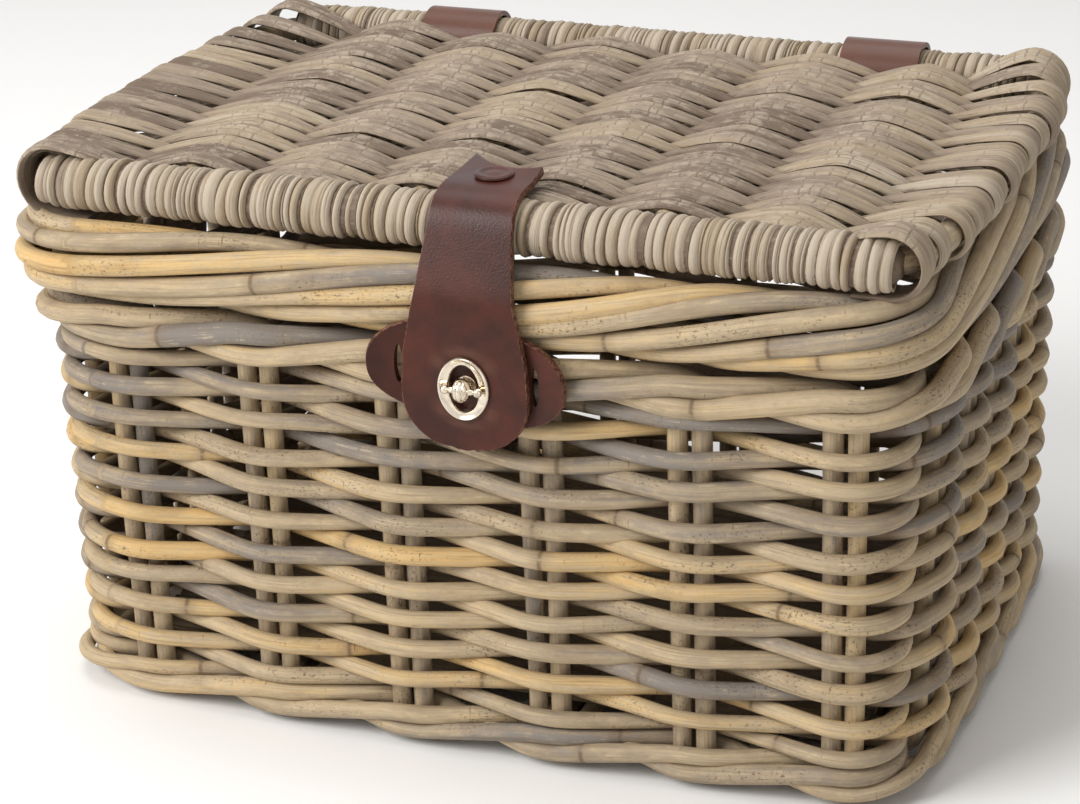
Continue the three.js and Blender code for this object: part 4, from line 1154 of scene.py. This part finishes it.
def leather_piece(name, points, thickness, halo, bevel=0.7):
    """A sheet of leather given its thickness, with rounded cut edges."""
    rim = np.zeros(points.shape[:2])
    rim[[0, -1], :] = 1.0
    rim[:, [0, -1]] = 1.0
    deselect()
    piece = joined(name, [laid_grid(points, {"rim": rim, "halo": halo})])
    bpy.ops.object.mode_set(mode="EDIT")
    bpy.ops.mesh.select_all(action="SELECT")
    bpy.ops.mesh.remove_doubles(threshold=SEAM)
    bpy.ops.mesh.normals_make_consistent(inside=False)
    bpy.ops.object.mode_set(mode="OBJECT")
    wall = piece.modifiers.new("thickness", "SOLIDIFY")
    wall.thickness = thickness * MM
    wall.offset = 0.0
    edge = piece.modifiers.new("edge", "BEVEL")
    edge.width = bevel * MM
    edge.segments = 2
    edge.limit_method = "ANGLE"
    edge.angle_limit = math.radians(50)
    apply_modifiers(piece)
    bpy.ops.object.shade_smooth_by_angle(angle=math.radians(40))
    return piece


def cut_oval(piece, x, z, half_x, half_z):
    """Cuts an oval hole from front to back through a piece."""
    deselect()
    bpy.ops.mesh.primitive_cylinder_add(vertices=48, radius=1.0, depth=40 * MM)
    tool = bpy.context.object
    y = middle("lock_patch", 1) * MM
    turn = Matrix.Rotation(math.pi / 2, 4, "X")
    size = Matrix.Diagonal((half_x * MM, 1.0, half_z * MM, 1.0))
    tool.data.transform(Matrix.Translation((x * MM, y, z * MM)) @ size @ turn)
    cutter = piece.modifiers.new("hole", "BOOLEAN")
    cutter.operation = "DIFFERENCE"
    cutter.object = tool
    cutter.solver = "EXACT"
    bpy.context.view_layer.objects.active = piece
    bpy.ops.object.modifier_apply(modifier=cutter.name)
    bpy.data.objects.remove(tool)


def strap_line():
    """The strap's middle line from its tail on the lid to its end, as y and z."""
    rail_y = WALL_MIDDLE_Y - RAIL_Y
    rail, gap, half_strap = 12.0, 0.3, 1.6
    radius = rail + gap + half_strap
    angle = np.radians(np.linspace(90, 159.4, 14))
    over = np.stack([rail_y + radius * np.cos(angle), RAIL_Z + radius * np.sin(angle)], -1)
    tail_y = WALL_MIDDLE_Y - 96.0
    tail = np.array([[tail_y, RAIL_Z + radius]])
    down = np.array([[STRAP_Y, RIM_Z + 4.0], [STRAP_Y, STRAP_ROUND_Z]])
    return softened(evenly(np.concatenate([tail, over, down]), 1.6), 12)


class BASKET_OT_strap(bpy.types.Operator):
    """Cuts the strap, lays it over the front rail and hangs it over the lock"""

    bl_idname = "basket.strap"
    bl_label = "Strap"

    def execute(self, context):
        line = strap_line()
        v = np.array([-1, -0.97, -0.8, -0.6, -0.4, -0.2, 0, 0.2, 0.4, 0.6, 0.8, 0.97, 1])
        rounding = np.linspace(0.04, 1, 14) * TURN / 4
        end_z = STRAP_ROUND_Z - STRAP_ROUND_DROP * np.sin(rounding)
        end = np.stack([np.full_like(end_z, STRAP_Y), end_z], -1)
        line = np.concatenate([line, end])
        travelled = np.concatenate([[0], np.cumsum(np.linalg.norm(np.diff(line, axis=0), axis=1))])
        above_lock = [0.0, 12.0, 22.0, 36.0, 60.0, 75.0]
        halves = [STRAP_HALF, 25.8, 23.6, 20.6, 17.8, 16.9]
        half = np.interp(line[:, 1] - LOCK_Z, above_lock, halves)
        half[-len(end) :] = STRAP_HALF * np.maximum(np.cos(rounding), 0.09) ** 0.85
        x = STRAP_X + half[:, None] * v
        y = np.broadcast_to(line[:, :1], x.shape).copy()
        z = np.broadcast_to(line[:, 1:], x.shape).copy()
        share = (v + 1) / 2
        tail_length = 26.0  # the tail on the lid is cut at a slant and lifts at its corners
        tail = np.clip(1 - travelled / tail_length, 0, 1)[:, None]
        y += tail * (8.0 - 14.0 * share - 6.0 * np.sin(math.pi * share))
        z += 2.6 * tail**2 * share**2 + 0.8 * tail**2 * (1 - share) ** 2
        y -= 0.5 * np.exp(-(((z - LOCK_Z + 10.5) / 20) ** 2)) * np.abs(v) ** 3
        points = np.stack([x, y, z], -1)
        halo_shape, halo_radius, halo_spread = 0.86, 15.6, 1.8  # a narrow oval round the eyelet
        hanging = y < -135  # the part that hangs down in front
        far = np.hypot((x - STRAP_X) / halo_shape, z - LOCK_Z)
        halo = np.exp(-(((far - halo_radius) / halo_spread) ** 2)) * hanging
        piece = leather_piece("strap", points, context.scene.basket_leather.strap / MM, halo)
        hole_x, hole_z = 8.0, 11.3
        cut_oval(piece, STRAP_X, LOCK_Z, hole_x, hole_z)
        piece.data.materials.append(tanned_leather(context))
        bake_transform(piece)
        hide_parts("strap_anchor", "strap_flap")
        return {"FINISHED"}


class BASKET_OT_patch(bpy.types.Operator):
    """Cuts the leaf-shaped lock patch with a slit near each tip"""

    bl_idname = "basket.patch"
    bl_label = "Lock patch"

    def execute(self, context):
        u = np.sin(np.linspace(-1, 1, 41) * TURN / 4 * 0.985)
        v = np.array([-1, -0.94, -0.7, -0.45, -0.2, 0, 0.2, 0.45, 0.7, 0.94, 1])
        half_length, half_height, tip, tilt = 41.0, 19.4, 0.8, 0.07
        slit_place, slit_slope, slit_x, slit_z = 28.5, 2.0, 1.7, 8.0
        across = half_length * u
        half = half_height * np.sqrt(1 - np.abs(u) ** 3) + tip
        x = STRAP_X + np.broadcast_to(across[:, None], (len(u), len(v)))
        z = PATCH_Z + half[:, None] * v - tilt * (x - STRAP_X)
        curl = 6.5 * np.clip((-u - 0.5) / 0.5, 0, 1) ** 1.6
        curl = curl + 2.2 * np.clip((u - 0.6) / 0.4, 0, 1) ** 1.5
        y = middle("lock_patch", 1) - np.broadcast_to(curl[:, None], x.shape)
        points = np.stack([x, y, z], -1)
        piece = leather_piece(
            "patch", points, context.scene.basket_leather.patch / MM, np.zeros(x.shape), 0.6
        )
        for side in (-1, 1):
            cut_oval(piece, STRAP_X + side * slit_place, PATCH_Z - slit_slope * side, slit_x, slit_z)
        dressed(piece, "basket", ["lock_patch"], tanned_leather(context))
        return {"FINISHED"}


def taut_line(points):
    """The taut line round a set of flat points."""
    order = sorted(map(tuple, points))

    def half_line(ordered):
        kept = []
        for point in ordered:
            while len(kept) > 1:
                (ax, ay), (bx, by) = kept[-2:]
                if (bx - ax) * (point[1] - by) - (by - ay) * (point[0] - bx) > 0:
                    break
                kept.pop()
            kept.append(point)
        return kept[:-1]

    return np.array(half_line(order) + half_line(order[::-1]))


class BASKET_OT_loops(bpy.types.Operator):
    """Draws each hinge loop taut round the lid's back rail and the rim"""

    bl_idname = "basket.loops"
    bl_label = "Hinge loops"

    def execute(self, context):
        thickness = context.scene.basket_leather.loop / MM
        rail_clear, rim_clear, rim_rise = 12.7, RIM_REACH + 0.4, 17.2  # what a loop goes round
        # The hinge loops are drawn paler all over: a painted reflection of the sky at their grazing angle
        half_width, paling_and_sheen = 18.0, 1.5
        angle = np.linspace(0, TURN, 72, endpoint=False)
        for side, name in ((-1, "left"), (1, "right")):
            x = middle(f"hinge_loop_{name}", 0)
            rim_y = 2 * WALL_MIDDLE_Y - wall_points(STARTS[0] + HALF_RUNS[0] + x, 0.0, STAKE_TOP_Z)[1]
            reach = rim_clear + thickness / 2
            rise = rim_rise + thickness / 2
            rail = rail_clear + thickness / 2
            around_rail = np.stack(
                [WALL_MIDDLE_Y + RAIL_Y + rail * np.cos(angle), RAIL_Z + rail * np.sin(angle)], -1
            )
            square = np.sign(np.cos(angle)) * np.abs(np.cos(angle)) ** 0.6
            upright = np.sign(np.sin(angle)) * np.abs(np.sin(angle)) ** 0.6
            around_rim = np.stack([rim_y + reach * square, RIM_Z + rise * upright], -1)
            line = taut_line(np.concatenate([around_rail, around_rim]))
            line = evenly(np.concatenate([line, line[:1]]), 2.5)[:-1]
            line = softened(line, 4, closed=True)
            line = np.concatenate([line, line[:1]])
            v = np.array([-1, -0.96, -0.75, -0.5, -0.25, 0, 0.25, 0.5, 0.75, 0.96, 1])
            width = half_width + 0.8 * ring_lumps(np.arange(len(line)), len(line), 9, side + 4)
            points = np.empty((len(line), len(v), 3))
            points[..., 0] = x + width[:, None] * v
            points[..., 1:] = line[:, None]
            halo = np.full(points.shape[:2], paling_and_sheen)
            piece = leather_piece(f"hinge_{name}", points, thickness, halo, 0.5)
            dressed(piece, "basket", [f"hinge_loop_{name}"], tanned_leather(context))
        return {"FINISHED"}


# Metal


def turned(profile, centre, axis, across, segments=40):
    """A turned shape: radius and height pairs round an axis, closed where the radius is nought."""
    profile = np.asarray(profile, float)
    angle = np.linspace(0, TURN, segments + 1)
    axis, across = np.asarray(axis, float), np.asarray(across, float)
    other = np.cross(axis, across)
    ring = np.cos(angle)[:, None] * across + np.sin(angle)[:, None] * other
    return np.asarray(centre) + profile[:, None, 1:] * axis + profile[:, None, :1] * ring[None]


def metal_piece(name, grids, body, nodes, finish):
    """One piece from laid grids."""
    deselect()
    piece = closed_up(joined(name, [laid_grid(points, {}) for points in grids]), 35)
    return dressed(piece, body, nodes, finish)


class BASKET_OT_lock(bpy.types.Operator):
    """Makes the eyelet, the post and the turn knob of the lock"""

    bl_idname = "basket.lock"
    bl_label = "Turn lock"

    def execute(self, context):
        nickel = plated_nickel(context)
        angle = np.linspace(0, TURN, 73)
        low, high = (np.array(corner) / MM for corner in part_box("eyelet"))
        hole_x, hole_z = 6.3, 9.8
        face, back = low[1], high[1]
        # The ring's section: shares of the way from the hole to the outer edge, and places in depth
        section = np.array(
            [
                (0.0, back), (0.0, face + 2.0), (0.04, face + 1.3), (0.12, face + 1.0), (0.3, face + 0.95),
                (0.5, face + 0.75), (0.68, face + 0.25), (0.78, face), (0.88, face + 0.1), (0.96, face + 0.5),
                (1.0, face + 1.1), (1.0, face + 1.55), (0.33, face + 1.6), (0.33, back), (0.0, back),
            ]
        )
        wide = hole_x + section[:, 0] * ((high[0] - low[0]) / 2 - hole_x)
        tall = hole_z + section[:, 0] * ((high[2] - low[2]) / 2 - hole_z)
        ring = np.stack(
            [
                STRAP_X + np.cos(angle)[:, None] * wide,
                np.broadcast_to(section[:, 1], (len(angle), len(section))),
                LOCK_Z + np.sin(angle)[:, None] * tall,
            ],
            -1,
        )
        metal_piece("eyelet_ring", [ring], "strap", ["eyelet"], nickel)

        plate = -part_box("lock_base")[1][1] / MM
        seat = 2.0  # the knob lies this much deeper, in the eyelet's dish
        knob = -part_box("turn_knob")[1][1] / MM - seat
        centre = (STRAP_X, 0, LOCK_Z)
        post = [
            (0, plate), (4.4, plate), (4.4, plate + 0.9), (4.1, plate + 1.2), (2.4, plate + 1.4),
            (2.4, knob - 0.3), (1.3, knob - 0.25), (1.3, knob + 1.9), (0, knob + 1.9),
        ]
        metal_piece(
            "lock_post", [turned(post, centre, FRONT, ACROSS)], "basket", ["lock_base"], nickel
        )

        ball, reach, height = 1.9, 6.9, 6.0
        bend = np.linspace(0.5, math.pi, 12)
        arm = [(1.5, 3.2), (1.2, 4.4)]
        arm += [(ball * math.sin(t), reach - ball * math.cos(t)) for t in bend]
        arm[-1] = (0.0, reach + ball)
        bar = [(r, -h) for r, h in reversed(arm)] + [(1.7, 0.0)] + arm
        bar = turned(bar, (STRAP_X, -knob - ball, LOCK_Z), ACROSS, UP, 24)
        dome = [(0, knob), (4.0, knob), (4.4, knob + 0.5), (4.4, knob + 1.3), (4.1, knob + 2.2)]
        dome += [
            (4.0 * math.cos(t), knob + 2.4 + (height - 2.4) * math.sin(t))
            for t in np.linspace(0.08, TURN / 4, 14)
        ]
        dome[-1] = (0.0, knob + height)
        dome = turned(dome, centre, FRONT, ACROSS, 64)
        beside = dome[..., 0] - STRAP_X
        grooves = sum(np.exp(-(((beside - g) / 0.42) ** 2)) for g in (-1.35, 1.35))
        dome[..., 1] += 0.7 * grooves * smoothstep((-knob - 2.2 - dome[..., 1]) / 1.5)
        dome[..., 0] = STRAP_X + 0.9 * beside
        dome[..., 2] = LOCK_Z + 1.12 * (dome[..., 2] - LOCK_Z)
        metal_piece("knob", [bar, dome], "knob", ["turn_knob"], nickel)
        return {"FINISHED"}


class BASKET_OT_rivet(bpy.types.Operator):
    """Makes the round head of the rivet that holds the strap to the lid"""

    bl_idname = "basket.rivet"
    bl_label = "Strap rivet"

    def execute(self, context):
        low, high = (np.array(corner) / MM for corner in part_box("strap_rivet"))
        foot, top = low[2], high[2]
        profile = [
            (0, foot), (2.5, foot), (2.5, top - 2.3), (7.6, top - 2.4), (8.0, top - 1.9),
            (7.8, top - 1.2), (7.0, top - 0.7), (6.0, top - 0.75), (5.2, top - 1.1), (4.0, top - 1.2),
            (2.0, top - 0.9), (0, top - 0.8),
        ]
        centre = ((low[0] + high[0]) / 2, (low[1] + high[1]) / 2, 0)
        metal_piece(
            "rivet",
            [turned(profile, centre, UP, ACROSS)],
            "lid",
            ["strap_rivet"],
            tanned_leather(context),
        )
        return {"FINISHED"}


# Stage


class BASKET_OT_stage(bpy.types.Operator):
    """Sets the pale floor, the soft lights and the camera"""

    bl_idname = "basket.stage"
    bl_label = "Stage"

    def execute(self, context):
        shades = context.scene.basket_colours
        deselect()
        bpy.ops.mesh.primitive_plane_add(size=8.0, location=(0, 0, -0.0005))
        floor = context.object
        floor.name = "floor"
        paper, _ = blank_finish("matt_white_paper")
        matt = {"Base Color": (*shades.floor, 1.0), "Roughness": 0.9}
        shader = add_node(paper, "BsdfPrincipled", matt)
        add_node(paper, "OutputMaterial", links={"Surface": shader})
        floor.data.materials.append(paper)

        world = bpy.data.worlds.new("soft_white_room")
        context.scene.world = world
        world.use_nodes = True
        world.node_tree.nodes.clear()
        path = add_node(world, "LightPath")
        seen = path.outputs["Is Camera Ray"]
        for ray in ("Is Glossy Ray", "Is Transmission Ray"):
            seen = add_node(world, "Math", {"operation": "MAXIMUM"}, {0: seen, 1: path.outputs[ray]})
        level = add_node(world, "MapRange", {"To Min": 0.3, "To Max": 1.0}, {"Value": seen})
        light = add_node(world, "Background", {"Color": (1.0, 1.0, 1.0, 1.0)}, {"Strength": level})
        add_node(world, "OutputWorld", links={"Surface": light})

        lamps = [
            ("key", (-1.4, -1.6, 1.55), 1.3, 60.0),
            ("fill", (1.7, -1.4, 0.9), 1.6, 5.0),
            ("top", (-0.2, 0.3, 2.1), 1.6, 24.0),
        ]
        for name, place, size, power in lamps:
            bpy.ops.object.light_add(type="AREA", location=place)
            lamp = context.object
            lamp.name = name
            lamp.data.size = size
            lamp.data.energy = power
            aim = Vector((0, 0, 0.1)) - Vector(place)
            lamp.rotation_euler = aim.to_track_quat("-Z", "Y").to_euler()

        camera_place = (0.43653, -1.12184, 0.60567)
        forward = Vector((-0.34180, 0.85847, -0.38236)).normalized()
        roll = math.radians(-1.62)
        right = forward.cross(Vector(UP)).normalized()
        upward = right.cross(forward)
        side = math.cos(roll) * right + math.sin(roll) * upward
        lift = -math.sin(roll) * right + math.cos(roll) * upward
        bpy.ops.object.camera_add()
        camera = context.object
        axes = Matrix((side, lift, -forward)).transposed().to_4x4()
        camera.matrix_world = Matrix.Translation(camera_place) @ axes
        camera.data.sensor_width = 36.0
        camera.data.lens = 98.1
        context.scene.camera = camera
        context.scene.view_settings.view_transform = "Standard"
        return {"FINISHED"}


OPERATORS = (
    BASKET_OT_stage,
    BASKET_OT_weavers,
    BASKET_OT_wale,
    BASKET_OT_foot,
    BASKET_OT_rim,
    BASKET_OT_stakes,
    BASKET_OT_base,
    BASKET_OT_rails,
    BASKET_OT_ribs,
    BASKET_OT_lid_weave,
    BASKET_OT_strap,
    BASKET_OT_patch,
    BASKET_OT_loops,
    BASKET_OT_lock,
    BASKET_OT_rivet,
)
GROUPS = {
    "basket_canes": BasketCanes,
    "basket_lid": BasketLid,
    "basket_leather": BasketLeather,
    "basket_colours": BasketColours,
}


class BASKET_PT_pieces(bpy.types.Panel):
    """Lists the sizes, the colours and the steps of the basket"""

    bl_label = "Basket"
    bl_idname = "BASKET_PT_pieces"
    bl_space_type = "VIEW_3D"
    bl_region_type = "UI"
    bl_category = "Basket"

    def draw(self, context):
        for name, group in GROUPS.items():
            box = self.layout.box()
            box.label(text=group.bl_rna.description)
            for key in group.__annotations__:
                box.prop(getattr(context.scene, name), key)
        for operator in OPERATORS:
            self.layout.operator(operator.bl_idname)


def register():
    """Registers the groups, the operators and the panel."""
    for name, group in GROUPS.items():
        bpy.utils.register_class(group)
        setattr(bpy.types.Scene, name, bpy.props.PointerProperty(type=group))
    for operator in OPERATORS:
        bpy.utils.register_class(operator)
    bpy.utils.register_class(BASKET_PT_pieces)


def unregister():
    """Takes out all that register put in."""
    bpy.utils.unregister_class(BASKET_PT_pieces)
    for operator in reversed(OPERATORS):
        bpy.utils.unregister_class(operator)
    for name, group in GROUPS.items():
        delattr(bpy.types.Scene, name)
        bpy.utils.unregister_class(group)


def main():
    """Makes every piece in order."""
    register()
    bpy.ops.basket.stage()
    bpy.ops.basket.weavers()
    bpy.ops.basket.wale()
    bpy.ops.basket.foot()
    bpy.ops.basket.rim()
    bpy.ops.basket.stakes()
    bpy.ops.basket.base()
    bpy.ops.basket.rails()
    bpy.ops.basket.ribs()
    bpy.ops.basket.lid_weave()
    bpy.ops.basket.strap()
    bpy.ops.basket.patch()
    bpy.ops.basket.loops()
    bpy.ops.basket.lock()
    bpy.ops.basket.rivet()


if __name__ == "__main__":
    main()
